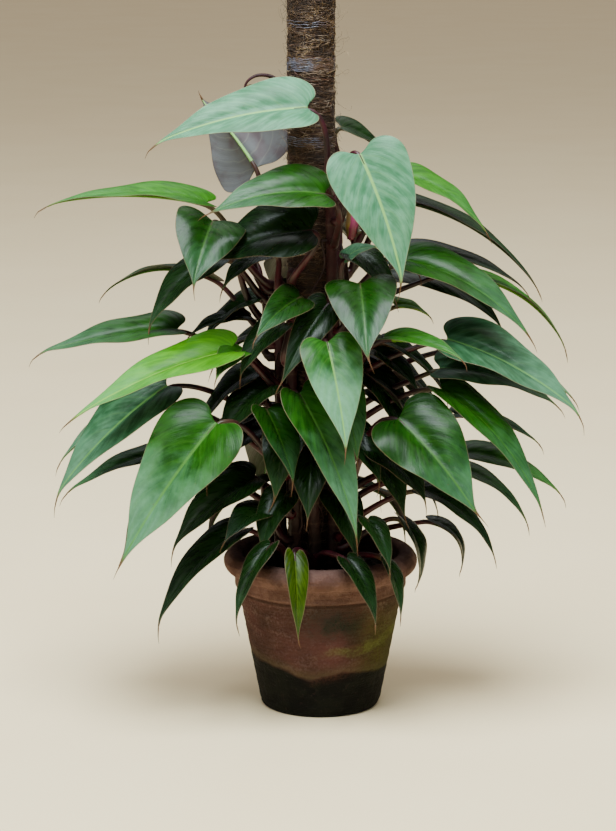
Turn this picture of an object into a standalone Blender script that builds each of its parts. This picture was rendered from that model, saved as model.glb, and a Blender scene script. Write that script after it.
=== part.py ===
"""Potted philodendron: a clay pot of soil, a coir pole, climbing stems and separate leaves.

Metres, +Z up. The pot stands on Z = 0 with its axis on the Z axis; the fuller, more open
side of the plant faces -Y. Every leaf is one closed body, blade and leaf stalk together.
"""
import itertools
import math

import bmesh
import bpy
from mathutils import Matrix, Vector
from mathutils.bvhtree import BVHTree

# Shared clearance between pieces that touch.
GAP = 0.0003
MM = 0.001

# Pot
POT_HEIGHT = 0.208
POT_BASE_RADIUS = 0.078
POT_RIM_RADIUS = 0.127
POT_WALL = 0.009
POT_FLOOR = 0.012
COLLAR_HEIGHT = 0.048
COLLAR_STEP = 0.006
RIM_ROLL = 0.014
RIM_NECK = 0.004
POT_EDGE = 0.004
POT_SIDES = 48
DRAIN_RADIUS = 0.006
DRAIN_REACH = 0.045
DRAIN_COUNT = 3
DRAIN_SIDES = 16

# Soil
SOIL_BELOW_RIM = 0.023
SOIL_CROWN = 0.006
SOIL_CHAMFER = 0.006
SOIL_SIDE_GAP = 0.001
SOIL_SIDES = 36
ROOTED_DEPTH = 0.030

# Pole
POLE_SHIFT_X = -0.012
POLE_TOP_ABOVE_SOIL = 0.790
CORE_RADIUS = 0.014
CORE_PROUD = 0.006
WRAP_RADIUS = 0.030
WRAP_DEPTH_IN_SOIL = 0.040
WRAP_SIDES = 20
WRAP_CHAMFER = 0.003
BAND_THICKNESS = 0.0010
BAND_WIDTH = 0.009
BAND_HEIGHTS = (0.657, 0.560)

# Climbing stems: angle round the pole in degrees, height above the soil
STEM_RADIUS = 0.0095
STEM_TAPER = 0.80
STEM_SIDES = 8
STEM_STATIONS = 12
STEM_WANDER = 5.0
STEMS = (
    ("front_right", -48.0, 0.520),
    ("front_left", -122.0, 0.400),
    ("left", 168.0, 0.385),
    ("right", 34.0, 0.505),
    ("back", 102.0, 0.430),
    ("front", -86.0, 0.330),
)

# New rolled leaf beside one of the taller stems
SHOOT_STEM = 3
SHOOT_ANGLE = -14.0
SHOOT_HEIGHT = 0.430
SHOOT_LENGTH = 0.075
SHOOT_RADIUS = 0.0085
SHOOT_LEAN = 12.0
# Places along the rolled leaf, with its share of the full radius there
SHOOT_SHAPE = ((0.0, 0.45), (0.15, 0.8), (0.4, 1.0), (0.7, 0.7), (0.9, 0.3), (1.0, 0.1))

# Leaf body
STALK_RADIUS = 0.0050
STALK_TIP_SHARE = 0.60
STALK_STATIONS = 6
STALK_END = 0.94
LEAF_THICKNESS = 0.0022
LEAF_TIP_RADIUS = 0.0006
# How far a stalk points off the pole and towards the blade where it leaves its stem
LEAVE_RADIAL = 0.6
LEAVE_TOWARDS = 0.8
# How far a stalk points up, outwards and along the blade where it meets the blade
ARRIVE_UP = 0.85
ARRIVE_OUT = 0.45
ARRIVE_ALONG = 1.8
# Lengths of the stalk curve's two pulls, as shares of the distance spanned
FOOT_PULL = 0.38
BASE_PULL = 0.34
# Lowest stalk foot above the soil, and least distance of a foot below its stem's top
LOWEST_FOOT = 0.012
# Degrees of turn round the pole that one metre of missing stem is worth
MISSING_STEM_COST = 2500.0
RIB_HALF_WIDTH = 0.0034
EDGE_PAST_RIB = 1.3
FOLD_DEGREES = 14.0
# Blade outline from the stalk to the tip: place along the midrib, place of the edge
# along the midrib, and share of the half width at that edge.
OUTLINE = (
    (0.000, 0.00, 0.09),
    (0.012, -0.055, 0.42),
    (0.035, -0.035, 0.74),
    (0.09, 0.05, 0.97),
    (0.20, 0.17, 1.00),
    (0.38, 0.37, 0.86),
    (0.60, 0.60, 0.56),
    (0.80, 0.80, 0.21),
    (0.91, 0.91, 0.06),
)

# Leaves, the foremost first. Angles are degrees round the pole (0 is +X, -90 is the
# front). Reach is millimetres out from the coir, height is millimetres above the soil.
# name, blade start (angle, reach, height), tip (angle, reach, height), width, turn of
# the blade about its midrib, arch as a share of the length, climb of the stalk in mm
LEAVES = (
    ("leaf_01", -52, 68, 550, -48, 142, 388, 110, 35, 0.04, 90),
    ("leaf_02", -94, 34, 606, -157, 190, 560, 92, -40, 0.05, 110),
    ("leaf_03", -140, 126, 212, -146, 262, 38, 122, -35, 0.03, 80),
    ("leaf_04", -43, 120, 218, -39, 240, 104, 114, 35, 0.04, 80),
    ("leaf_05", -80, 84, 318, -76, 154, 188, 80, 10, 0.04, 70),
    ("leaf_06", -56, 80, 388, -70, 172, 306, 92, 5, 0.06, 70),
    ("leaf_07", -99, 62, 250, -69, 130, 66, 92, 10, 0.05, 70),
    ("leaf_08", -80, 62, 502, -134, 150, 480, 90, -30, 0.08, 70),
    ("leaf_09", -89, 46, 454, -155, 128, 406, 106, -40, 0.07, 70),
    ("leaf_14", -158, 104, 462, -138, 168, 388, 92, -20, 0.06, 90),
    ("leaf_10", -13, 148, 308, -14, 330, 214, 105, 20, 0.06, 60),
    ("leaf_11", -14, 94, 408, -16, 264, 312, 92, 15, 0.09, 60),
    ("leaf_12", -151, 86, 296, -163, 298, 208, 90, -20, 0.05, 60),
    ("leaf_13", -174, 156, 244, -170, 310, 98, 105, -25, 0.05, 60),
    ("leaf_15", 180, 104, 478, -177, 318, 476, 82, -10, 0.06, 160),
    ("leaf_16", -20, 146, 240, -22, 290, 84, 72, 10, 0.09, 60),
    ("leaf_17", 0, 76, 514, -10, 200, 442, 72, 10, 0.10, 90),
    ("leaf_18", 12, 88, 480, 2, 270, 358, 55, 5, 0.10, 70),
    ("leaf_20", -99, 56, 370, -112, 160, 331, 50, -35, 0.06, 30),
    ("leaf_19", -74, 46, 360, -106, 112, 264, 50, -40, 0.05, 30),
    ("leaf_21", 180, 142, 314, -178, 330, 284, 80, -15, 0.03, 60),
    ("leaf_22", -175, 86, 392, -171, 184, 298, 78, -15, 0.10, 60),
    ("leaf_23", -10, 138, 252, -10, 296, 206, 92, 20, 0.08, 60),
    ("leaf_24", -124, 72, 226, -99, 102, 136, 78, -10, 0.05, 60),
    ("leaf_25", -144, 80, 64, -150, 202, -58, 75, -5, 0.09, 40),
    ("leaf_26", -100, 92, 46, -96, 130, -62, 34, -20, 0.10, 30),
    ("leaf_27", -116, 86, 54, -123, 148, -44, 42, 5, 0.10, 30),
    ("leaf_28", -70, 98, 40, -62, 146, -42, 44, 0, 0.10, 30),
    ("leaf_29", -56, 96, 88, -56, 150, 26, 44, -10, 0.10, 40),
    ("leaf_30", -47, 108, 34, -51, 152, -36, 38, -30, 0.12, 20),
    ("leaf_31", -19, 92, 72, -24, 120, -16, 52, -20, 0.20, 40),
    ("leaf_32", 0, 124, 60, -3, 167, -8, 42, 0, 0.25, 40),
    ("leaf_33", -165, 45, 120, -166, 160, 26, 88, -15, 0.08, 50),
    ("leaf_34", 169, 132, 148, 178, 298, 92, 78, -5, 0.06, 50),
    ("leaf_35", 166, 98, 390, 174, 246, 370, 56, 5, 0.16, 60),
    ("leaf_36", 13, 84, 418, 4, 254, 370, 66, 10, 0.09, 60),
    ("leaf_37", 13, 142, 380, 7, 312, 272, 56, 5, 0.16, 60),
    ("leaf_38", 38, 104, 380, 12, 234, 298, 70, 30, 0.12, 40),
    ("leaf_39", -6, 168, 154, -7, 302, 102, 70, 10, 0.08, 60),
    ("leaf_40", -38, 74, 170, -32, 146, 102, 85, 10, 0.08, 70),
    ("leaf_41", -41, 94, 316, -33, 202, 295, 60, 5, 0.08, 60),
    ("leaf_42", 170, 34, 522, 152, 132, 604, 118, 112, 0.04, 160),
    ("leaf_43", 44, 24, 572, 33, 108, 506, 50, 25, 0.10, 90),
    ("leaf_44", 67, 36, 344, 79, 185, 222, 95, 30, 0.12, 60),
    ("leaf_45", 103, 34, 410, 98, 172, 280, 95, -30, 0.12, 60),
    ("leaf_46", 53, 46, 182, 64, 192, 40, 95, 25, 0.12, 60),
    ("leaf_47", 120, 40, 170, 109, 182, 40, 95, -30, 0.12, 60),
)

# Moves tried, smallest first, until a leaf is clear of everything already placed.
SWINGS = (0, 3, -3, 6, -6, 9, -9, 13, -13, 17, -17)
LIFTS = (0, 8, -8, 16, -16)
SLIDES = (0, -14, 14, -28)
PUSHES = (0, 8, 16)
SWING_COST = 1.0
LIFT_COST = 0.35
SLIDE_COST = 0.08
PUSH_COST = 0.3
LEAF_CLEARANCE = 0.0006

# Sizes worked out from the ones above
SOIL_LEVEL = POT_HEIGHT - SOIL_BELOW_RIM
BAND_INNER = WRAP_RADIUS + GAP
STEM_RING = BAND_INNER + BAND_THICKNESS + 2.0 * GAP + STEM_RADIUS
POLE_TOP = SOIL_LEVEL + POLE_TOP_ABOVE_SOIL
UP = Vector((0.0, 0.0, 1.0))
ACROSS = Vector((1.0, 0.0, 0.0))
BACK = Vector((0.0, 1.0, 0.0))

# Colours
CLAY = (0.36, 0.21, 0.155, 1.0)
EARTH = (0.030, 0.021, 0.016, 1.0)
COIR = (0.20, 0.115, 0.055, 1.0)
TIMBER = (0.33, 0.22, 0.13, 1.0)
TWINE = (0.33, 0.38, 0.45, 1.0)
BARK = (0.085, 0.025, 0.028, 1.0)
NEW_GROWTH = (0.42, 0.13, 0.17, 1.0)
GREEN_BRIGHT = (0.17, 0.36, 0.035, 1.0)
GREEN_MID = (0.075, 0.19, 0.04, 1.0)
GREEN_DEEP = (0.022, 0.06, 0.032, 1.0)
GREEN_SILVER = (0.29, 0.41, 0.31, 1.0)


def clear_scene():
    """Remove everything the start-up file put in the scene."""
    for item in list(bpy.data.objects):
        bpy.data.objects.remove(item, do_unlink=True)


def plain_material(name, colour, roughness):
    """Make a Principled material.

    Args: name, linear colour with alpha, roughness from 0 to 1.
    Returns: the material.
    """
    result = bpy.data.materials.new(name)
    result.use_nodes = True
    shader = result.node_tree.nodes["Principled BSDF"]
    shader.inputs["Base Color"].default_value = colour
    shader.inputs["Roughness"].default_value = roughness
    shader.inputs["Metallic"].default_value = 0.0
    result.diffuse_color = colour
    return result


def add_body(name, points, faces, finish, smooth=True, origin=(0.0, 0.0, 0.0)):
    """Make one closed object from points and faces.

    Args: object name, points, faces, material, whether it is shaded smooth, the place of
    the object's own origin.
    Returns: the object.
    """
    mesh = bpy.data.meshes.new(name)
    mesh.from_pydata([tuple(p - Vector(origin)) for p in points], [], faces)
    work = bmesh.new()
    work.from_mesh(mesh)
    bmesh.ops.recalc_face_normals(work, faces=work.faces)
    work.to_mesh(mesh)
    work.free()
    for face in mesh.polygons:
        face.use_smooth = smooth
    mesh.materials.append(finish)
    result = bpy.data.objects.new(name, mesh)
    result.location = origin
    bpy.context.scene.collection.objects.link(result)
    return result


def loft(rings):
    """Join rings of equal count into a closed tube with flat ends.

    Args: rings, a list of lists of points.
    Returns: points and faces.
    """
    count = len(rings[0])
    points = [p for ring in rings for p in ring]
    faces = [tuple(reversed(range(count)))]
    for row in range(len(rings) - 1):
        low = row * count
        high = low + count
        for i in range(count):
            j = (i + 1) % count
            faces.append((low + i, low + j, high + j, high + i))
    last = (len(rings) - 1) * count
    faces.append(tuple(last + i for i in range(count)))
    return points, faces


def ring_points(centre, side, top, radius, count):
    """Place points round a centre.

    Args: centre, two unit directions across the ring, radius, count.
    Returns: a list of points.
    """
    result = []
    for i in range(count):
        angle = 2.0 * math.pi * i / count
        result.append(centre + radius * (math.cos(angle) * side + math.sin(angle) * top))
    return result


def turned(profile, sides, centre_x=0.0):
    """Turn a profile about an upright axis.

    Args: profile of (radius, height), closed loop if no radius is 0, otherwise from axis
    to axis; number of sides; X of the axis.
    Returns: points and faces.
    """
    points = []
    rows = []
    for radius, height in profile:
        if radius == 0.0:
            rows.append([len(points)])
            points.append(Vector((centre_x, 0.0, height)))
            continue
        rows.append(list(range(len(points), len(points) + sides)))
        for i in range(sides):
            angle = 2.0 * math.pi * i / sides
            x = centre_x + radius * math.cos(angle)
            points.append(Vector((x, radius * math.sin(angle), height)))
    pairs = list(zip(rows[:-1], rows[1:]))
    if len(rows[0]) > 1:
        pairs.append((rows[-1], rows[0]))
    faces = []
    for low, high in pairs:
        for i in range(sides):
            j = (i + 1) % sides
            corners = [low[i % len(low)], low[j % len(low)], high[j % len(high)], high[i % len(high)]]
            unique = list(dict.fromkeys(corners))
            faces.append(tuple(unique))
    return points, faces


def cut_away(target, cutter):
    """Subtract one object from another with a live exact Boolean.

    Args: target object, cutter object.
    """
    cutter.hide_render = True
    cutter.display_type = "WIRE"
    step = target.modifiers.new("cut", "BOOLEAN")
    step.operation = "DIFFERENCE"
    step.solver = "EXACT"
    step.object = cutter


def wall_radius(height):
    """Outer radius of the pot's straight wall at a height.

    Args: height above the ground.
    Returns: radius in metres.
    """
    collar_low = POT_HEIGHT - COLLAR_HEIGHT
    top_radius = POT_RIM_RADIUS - RIM_ROLL - RIM_NECK
    share = height / collar_low
    return POT_BASE_RADIUS + (top_radius - POT_BASE_RADIUS) * share


def build_pot(finish):
    """Build the pot with its collar, rolled rim and drain holes.

    Args: material.
    Returns: the object.
    """
    collar_low = POT_HEIGHT - COLLAR_HEIGHT
    roll_mid = POT_HEIGHT - RIM_ROLL
    roll_centre = POT_RIM_RADIUS - RIM_ROLL
    collar_radius = wall_radius(collar_low) + COLLAR_STEP
    profile = [(0.0, 0.0), (POT_BASE_RADIUS - POT_EDGE, 0.0), (POT_BASE_RADIUS, POT_EDGE)]
    profile.append((wall_radius(collar_low * 0.5), collar_low * 0.5))
    profile.append((wall_radius(collar_low), collar_low))
    profile.append((collar_radius, collar_low + COLLAR_STEP))
    for degrees in (-50.0, -20.0, 15.0, 50.0, 90.0, 125.0):
        angle = math.radians(degrees)
        profile.append((roll_centre + RIM_ROLL * math.cos(angle), roll_mid + RIM_ROLL * math.sin(angle)))
    profile.append((inner_radius(roll_mid), roll_mid))
    profile.append((inner_radius(collar_low), collar_low))
    profile.append((inner_radius(POT_FLOOR + POT_EDGE), POT_FLOOR + POT_EDGE))
    profile.append((inner_radius(POT_FLOOR) - POT_EDGE, POT_FLOOR))
    profile.append((0.0, POT_FLOOR))
    points, faces = turned(profile, POT_SIDES)
    pot = add_body("pot", points, faces, finish)
    cutter_points = []
    cutter_faces = []
    for i in range(DRAIN_COUNT):
        angle = math.radians(90.0) + 2.0 * math.pi * i / DRAIN_COUNT
        spot = Vector((DRAIN_REACH * math.cos(angle), DRAIN_REACH * math.sin(angle), 0.0))
        low = ring_points(spot - POT_FLOOR * UP, ACROSS, BACK, DRAIN_RADIUS, DRAIN_SIDES)
        high = [p + 3.0 * POT_FLOOR * UP for p in low]
        more_points, more_faces = loft([low, high])
        start = len(cutter_points)
        cutter_points += more_points
        cutter_faces += [tuple(start + k for k in face) for face in more_faces]
    cutter = add_body("pot_drain_cutter", cutter_points, cutter_faces, finish)
    cut_away(pot, cutter)
    return pot


def inner_radius(height):
    """Inner radius of the pot at a height.

    Args: height above the ground.
    Returns: radius in metres.
    """
    return wall_radius(min(height, POT_HEIGHT - COLLAR_HEIGHT)) - POT_WALL


def stem_angle(index, height):
    """Angle of a stem round the pole, wandering gently with height.

    Args: stem number, height above the soil.
    Returns: angle in radians.
    """
    wander = STEM_WANDER * math.sin(9.0 * height + 1.7 * index)
    return math.radians(STEMS[index][1] + wander)


def stem_point(index, height):
    """Centre of a stem at a height above the soil.

    Args: stem number, height above the soil.
    Returns: a point.
    """
    angle = stem_angle(index, height)
    x = POLE_SHIFT_X + STEM_RING * math.cos(angle)
    return Vector((x, STEM_RING * math.sin(angle), SOIL_LEVEL + height))


def stem_rings(index):
    """Rings of one stem from its rooted end to its tip.

    Args: stem number.
    Returns: a list of rings.
    """
    top = STEMS[index][2]
    rings = []
    for i in range(STEM_STATIONS):
        height = -ROOTED_DEPTH + (top + ROOTED_DEPTH) * i / (STEM_STATIONS - 1)
        radius = STEM_RADIUS * (1.0 + (STEM_TAPER - 1.0) * max(height, 0.0) / top)
        rings.append(ring_points(stem_point(index, height), ACROSS, BACK, radius, STEM_SIDES))
    return rings


def build_soil(finish):
    """Build the soil with a stepped hole for the pole and a socket for each stem.

    Args: material.
    Returns: the object.
    """
    bottom = POT_FLOOR + GAP
    core_hole = CORE_RADIUS + GAP
    wrap_hole = WRAP_RADIUS + GAP
    wrap_bottom = SOIL_LEVEL - WRAP_DEPTH_IN_SOIL - GAP
    side = inner_radius(SOIL_LEVEL) - SOIL_SIDE_GAP
    rows = [
        ("pole", core_hole, bottom),
        ("pot", inner_radius(bottom) - SOIL_CHAMFER, bottom),
        ("pot", inner_radius(bottom + SOIL_CHAMFER) - GAP, bottom + SOIL_CHAMFER),
        ("pot", side, min(SOIL_LEVEL, POT_HEIGHT - COLLAR_HEIGHT)),
        ("pot", side, SOIL_LEVEL - SOIL_CROWN),
        ("pole", (wrap_hole + inner_radius(SOIL_LEVEL)) * 0.5, SOIL_LEVEL),
        ("pole", wrap_hole, SOIL_LEVEL),
        ("pole", wrap_hole, wrap_bottom),
        ("pole", core_hole, wrap_bottom),
    ]
    points = []
    for owner, radius, height in rows:
        centre = POLE_SHIFT_X if owner == "pole" else 0.0
        for i in range(SOIL_SIDES):
            angle = 2.0 * math.pi * i / SOIL_SIDES
            points.append(Vector((centre + radius * math.cos(angle), radius * math.sin(angle), height)))
    faces = []
    for row in range(len(rows)):
        low = row * SOIL_SIDES
        high = ((row + 1) % len(rows)) * SOIL_SIDES
        for i in range(SOIL_SIDES):
            j = (i + 1) % SOIL_SIDES
            faces.append((low + i, low + j, high + j, high + i))
    soil = add_body("soil", points, faces, finish, smooth=False)
    cutter_points = []
    cutter_faces = []
    for index in range(len(STEMS)):
        rings = []
        for height in (-ROOTED_DEPTH - GAP, 0.0, ROOTED_DEPTH):
            centre = stem_point(index, max(height, -ROOTED_DEPTH))
            centre.z = SOIL_LEVEL + height
            rings.append(ring_points(centre, ACROSS, BACK, STEM_RADIUS + 2.0 * GAP, STEM_SIDES))
        more_points, more_faces = loft(rings)
        start = len(cutter_points)
        cutter_points += more_points
        cutter_faces += [tuple(start + k for k in face) for face in more_faces]
    cutter = add_body("soil_socket_cutter", cutter_points, cutter_faces, finish)
    cut_away(soil, cutter)
    return soil


def build_pole(coir, timber, twine):
    """Build the wooden core, the coir wrap and the binding bands.

    Args: coir, timber and twine materials.
    Returns: the wrap and band objects.
    """
    low = POT_FLOOR + GAP
    points, faces = turned([(0.0, low), (CORE_RADIUS, low), (CORE_RADIUS, POLE_TOP + CORE_PROUD),
                            (0.0, POLE_TOP + CORE_PROUD)], WRAP_SIDES, POLE_SHIFT_X)
    axis = (POLE_SHIFT_X, 0.0, 0.0)
    add_body("pole_core", points, faces, timber, False, axis)
    inner = CORE_RADIUS + GAP
    bottom = SOIL_LEVEL - WRAP_DEPTH_IN_SOIL
    points, faces = turned([(inner, bottom), (WRAP_RADIUS, bottom), (WRAP_RADIUS, POLE_TOP - WRAP_CHAMFER),
                            (WRAP_RADIUS - WRAP_CHAMFER, POLE_TOP), (inner, POLE_TOP)],
                           WRAP_SIDES, POLE_SHIFT_X)
    solids = [add_body("coir_wrap", points, faces, coir, False, axis)]
    for number, height in enumerate(BAND_HEIGHTS, 1):
        mid = SOIL_LEVEL + height
        half = BAND_WIDTH * 0.5
        outer = BAND_INNER + BAND_THICKNESS
        loop = [(BAND_INNER, mid - half), (outer, mid - half), (outer, mid + half), (BAND_INNER, mid + half)]
        points, faces = turned(loop, WRAP_SIDES, POLE_SHIFT_X)
        solids.append(add_body(f"band_{number}", points, faces, twine, False, axis))
    return solids


def build_stems(finish):
    """Build the climbing stems.

    Args: material.
    Returns: the objects.
    """
    result = []
    for index, (name, _angle, _top) in enumerate(STEMS):
        points, faces = loft(stem_rings(index))
        result.append(add_body(f"stem_{name}", points, faces, finish, True, stem_point(index, 0.0)))
    return result


def build_shoot(finish):
    """Build the new rolled leaf beside its stem.

    Args: material.
    Returns: the object.
    """
    foot = stem_point(SHOOT_STEM, SHOOT_HEIGHT)
    turn = math.radians(SHOOT_ANGLE)
    out = Vector((math.cos(turn), math.sin(turn), 0.0))
    lean = math.radians(SHOOT_LEAN)
    along = (math.sin(lean) * out + math.cos(lean) * UP).normalized()
    side = out.cross(UP).normalized()
    top = side.cross(along).normalized()
    start = foot + out * (STEM_RADIUS + GAP + SHOOT_RADIUS * 0.7)
    rings = []
    for share, width in SHOOT_SHAPE:
        rings.append(ring_points(start + along * SHOOT_LENGTH * share, side, top, SHOOT_RADIUS * width, 8))
    points, faces = loft(rings)
    return add_body("new_leaf", points, faces, finish, True, start)


def polar(angle, reach, height):
    """Point from an angle round the pole, a reach from the coir and a height over the soil.

    Args: angle in degrees, reach and height in millimetres.
    Returns: a point.
    """
    turn = math.radians(angle)
    radius = WRAP_RADIUS + reach * MM
    x = POLE_SHIFT_X + radius * math.cos(turn)
    return Vector((x, radius * math.sin(turn), SOIL_LEVEL + height * MM))


def nearest_stem(angle, height):
    """Choose the stem a leaf springs from.

    Args: angle of the leaf's start in degrees, height of the stalk's foot in metres.
    Returns: stem number.
    """
    best = 0
    best_cost = None
    for index, (_name, stem, top) in enumerate(STEMS):
        turn = abs((angle - stem + 180.0) % 360.0 - 180.0)
        missing = max(0.0, height - top + LOWEST_FOOT)
        cost = turn + missing * MISSING_STEM_COST
        if best_cost is None or cost < best_cost:
            best = index
            best_cost = cost
    return best


def bezier(p0, p1, p2, p3, share):
    """Point on a cubic curve.

    Args: four control points, share of the way along.
    Returns: a point.
    """
    rest = 1.0 - share
    return rest ** 3 * p0 + 3 * rest * rest * share * p1 + 3 * rest * share * share * p2 + share ** 3 * p3


def flat_part(vector, axis):
    """Part of a vector square to an axis, at unit length.

    Args: vector, unit axis.
    Returns: a unit vector.
    """
    return (vector - vector.dot(axis) * axis).normalized()


def leaf_curve(spec, swing, lift, slide, push):
    """Work out where a leaf's stalk and midrib run.

    Args: row of LEAVES, then the moves in degrees and millimetres.
    Returns: a dictionary of the curve's control points, facing and half width.
    """
    _name, a0, r0, h0, a1, r1, h1, width, roll, arch, climb = spec
    base = polar(a0 + swing, r0 + push, h0 + lift)
    tip = polar(a1 + swing, r1 + push, h1 + lift)
    chord = (tip - base).normalized()
    length = (tip - base).length
    face = flat_part(UP, chord)
    middle = (base + tip) * 0.5 + face * (2.0 * arch * length)
    face = Matrix.Rotation(math.radians(roll), 3, chord) @ face
    foot_height = max(LOWEST_FOOT, (h0 + lift - climb + slide) * MM)
    index = nearest_stem(a0 + swing, foot_height)
    foot_height = min(foot_height, STEMS[index][2] - LOWEST_FOOT)
    centre = stem_point(index, foot_height)
    towards = Vector((base.x - centre.x, base.y - centre.y, 0.0))
    turn = stem_angle(index, foot_height)
    radial = Vector((math.cos(turn), math.sin(turn), 0.0))
    out = (LEAVE_RADIAL * radial + LEAVE_TOWARDS * towards.normalized()).normalized()
    foot = centre + out * (STEM_RADIUS + GAP + STALK_RADIUS * 0.9)
    heading = Vector((chord.x, chord.y, 0.0))
    start = (middle - base).normalized()
    arrive = (ARRIVE_UP * UP + ARRIVE_OUT * heading + ARRIVE_ALONG * start).normalized()
    span = (base - foot).length
    return {
        "foot": foot,
        "foot_pull": foot + (LEAVE_TOWARDS * out + LEAVE_RADIAL * UP) * (FOOT_PULL * span),
        "base_pull": base - arrive * (BASE_PULL * span),
        "base": base,
        "middle": middle,
        "tip": tip,
        "face": face,
        "half": width * MM * 0.5,
        "length": length,
    }


def leaf_rings(curve, extra=0.0):
    """Rings of one leaf, from the foot of its stalk to the tip of its blade.

    Args: result of leaf_curve, extra thickness all round for the clearance test.
    Returns: a list of rings of six points.
    """
    base, middle, tip = curve["base"], curve["middle"], curve["tip"]
    face = curve["face"]
    start = (middle - base).normalized()
    top = flat_part(face, start)
    frames = []
    for i in range(STALK_STATIONS):
        share = i / (STALK_STATIONS - 1) * STALK_END
        here = bezier(curve["foot"], curve["foot_pull"], curve["base_pull"], base, share)
        ahead = bezier(curve["foot"], curve["foot_pull"], curve["base_pull"], base, share + 0.01)
        frames.append((here, (ahead - here).normalized(), share))
    rings = []
    along = start
    for here, tangent, share in reversed(frames):
        top = along.rotation_difference(tangent) @ top
        top = flat_part(top, tangent)
        along = tangent
        side = tangent.cross(top)
        radius = STALK_RADIUS * (1.0 + (STALK_TIP_SHARE - 1.0) * share) + extra
        rings.append(ring_points(here, -side, top, radius, 6))
    rings.reverse()
    fold = math.radians(FOLD_DEGREES)
    for along_rib, along_edge, half_share in OUTLINE:
        spot = rib_point(base, middle, tip, along_rib)
        tangent = rib_tangent(base, middle, tip, along_rib)
        top = flat_part(face, tangent)
        side = tangent.cross(top)
        thick = 0.5 * LEAF_THICKNESS * (1.0 - 0.4 * along_rib) + extra
        rib = RIB_HALF_WIDTH * (1.0 - 0.75 * along_rib)
        edge_spot = rib_point(base, middle, tip, along_edge)
        edge_tangent = rib_tangent(base, middle, tip, along_edge)
        edge_top = flat_part(face, edge_tangent)
        edge_side = edge_tangent.cross(edge_top)
        reach = max(curve["half"] * half_share, EDGE_PAST_RIB * rib) + extra
        left = edge_spot + reach * (-math.cos(fold) * edge_side + math.sin(fold) * edge_top)
        right = edge_spot + reach * (math.cos(fold) * edge_side + math.sin(fold) * edge_top)
        rings.append([
            left,
            spot - rib * side + thick * top,
            spot + rib * side + thick * top,
            right,
            spot + rib * side - thick * top,
            spot - rib * side - thick * top,
        ])
    tangent = rib_tangent(base, middle, tip, 1.0)
    top = flat_part(face, tangent)
    rings.append(ring_points(tip, -tangent.cross(top), top, LEAF_TIP_RADIUS + extra, 6))
    return rings


def rib_point(base, middle, tip, share):
    """Point on the midrib; before the start it runs straight on.

    Args: three control points, share of the way along.
    Returns: a point.
    """
    if share < 0.0:
        return base + (middle - base) * (2.0 * share)
    rest = 1.0 - share
    return rest * rest * base + 2.0 * rest * share * middle + share * share * tip


def rib_tangent(base, middle, tip, share):
    """Direction of the midrib.

    Args: three control points, share of the way along.
    Returns: a unit vector.
    """
    share = max(share, 0.0)
    return ((1.0 - share) * (middle - base) + share * (tip - middle)).normalized()


def box_of(points):
    """Smallest and largest corner of some points.

    Args: points.
    Returns: two tuples.
    """
    low = tuple(min(p[i] for p in points) for i in range(3))
    high = tuple(max(p[i] for p in points) for i in range(3))
    return low, high


def boxes_meet(a, b):
    """Tell whether two boxes share space.

    Args: two boxes.
    Returns: True or False.
    """
    return all(a[0][i] <= b[1][i] and b[0][i] <= a[1][i] for i in range(3))


def all_moves():
    """List every move of a leaf, the smallest first.

    Returns: a list of (swing, lift, slide, push).
    """
    moves = list(itertools.product(SWINGS, LIFTS, SLIDES, PUSHES))
    moves.sort(key=lambda m: abs(m[0]) * SWING_COST + abs(m[1]) * LIFT_COST
               + abs(m[2]) * SLIDE_COST + m[3] * PUSH_COST)
    return moves


def place_leaves(finishes, solids):
    """Place every leaf clear of the solids and of the leaves before it.

    Args: dictionary of materials, objects already built.
    """
    taken = []
    for item in solids:
        points = [v.co + item.location for v in item.data.vertices]
        faces = [tuple(f.vertices) for f in item.data.polygons]
        taken.append((box_of(points), BVHTree.FromPolygons(points, faces)))
    moves = all_moves()
    for spec in LEAVES:
        chosen = None
        for move in moves:
            rings = leaf_rings(leaf_curve(spec, *move), LEAF_CLEARANCE)
            points, faces = loft(rings)
            box = box_of(points)
            tree = None
            clear = True
            for other_box, other_tree in taken:
                if not boxes_meet(box, other_box):
                    continue
                if tree is None:
                    tree = BVHTree.FromPolygons(points, faces)
                if tree.overlap(other_tree):
                    clear = False
                    break
            if clear:
                chosen = move
                break
        if chosen is None:
            chosen = moves[0]
            print("no clear place for", spec[0])
        curve = leaf_curve(spec, *chosen)
        points, faces = loft(leaf_rings(curve))
        taken.append((box_of(points), BVHTree.FromPolygons(points, faces)))
        finish = finishes[LEAF_TONES.get(spec[0], "mid")]
        add_body(spec[0], points, faces, finish, True, curve["foot"])


# Tone of each leaf that is not the middle green
LEAF_TONES = {
    "leaf_01": "silver",
    "leaf_02": "silver",
    "leaf_05": "silver",
    "leaf_09": "deep",
    "leaf_12": "bright",
    "leaf_15": "bright",
    "leaf_18": "deep",
    "leaf_20": "bright",
    "leaf_22": "deep",
    "leaf_25": "deep",
    "leaf_26": "bright",
    "leaf_31": "deep",
    "leaf_32": "deep",
    "leaf_33": "deep",
    "leaf_36": "deep",
    "leaf_38": "deep",
    "leaf_39": "deep",
    "leaf_40": "deep",
    "leaf_41": "bright",
    "leaf_42": "silver",
    "leaf_43": "deep",
}


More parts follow.
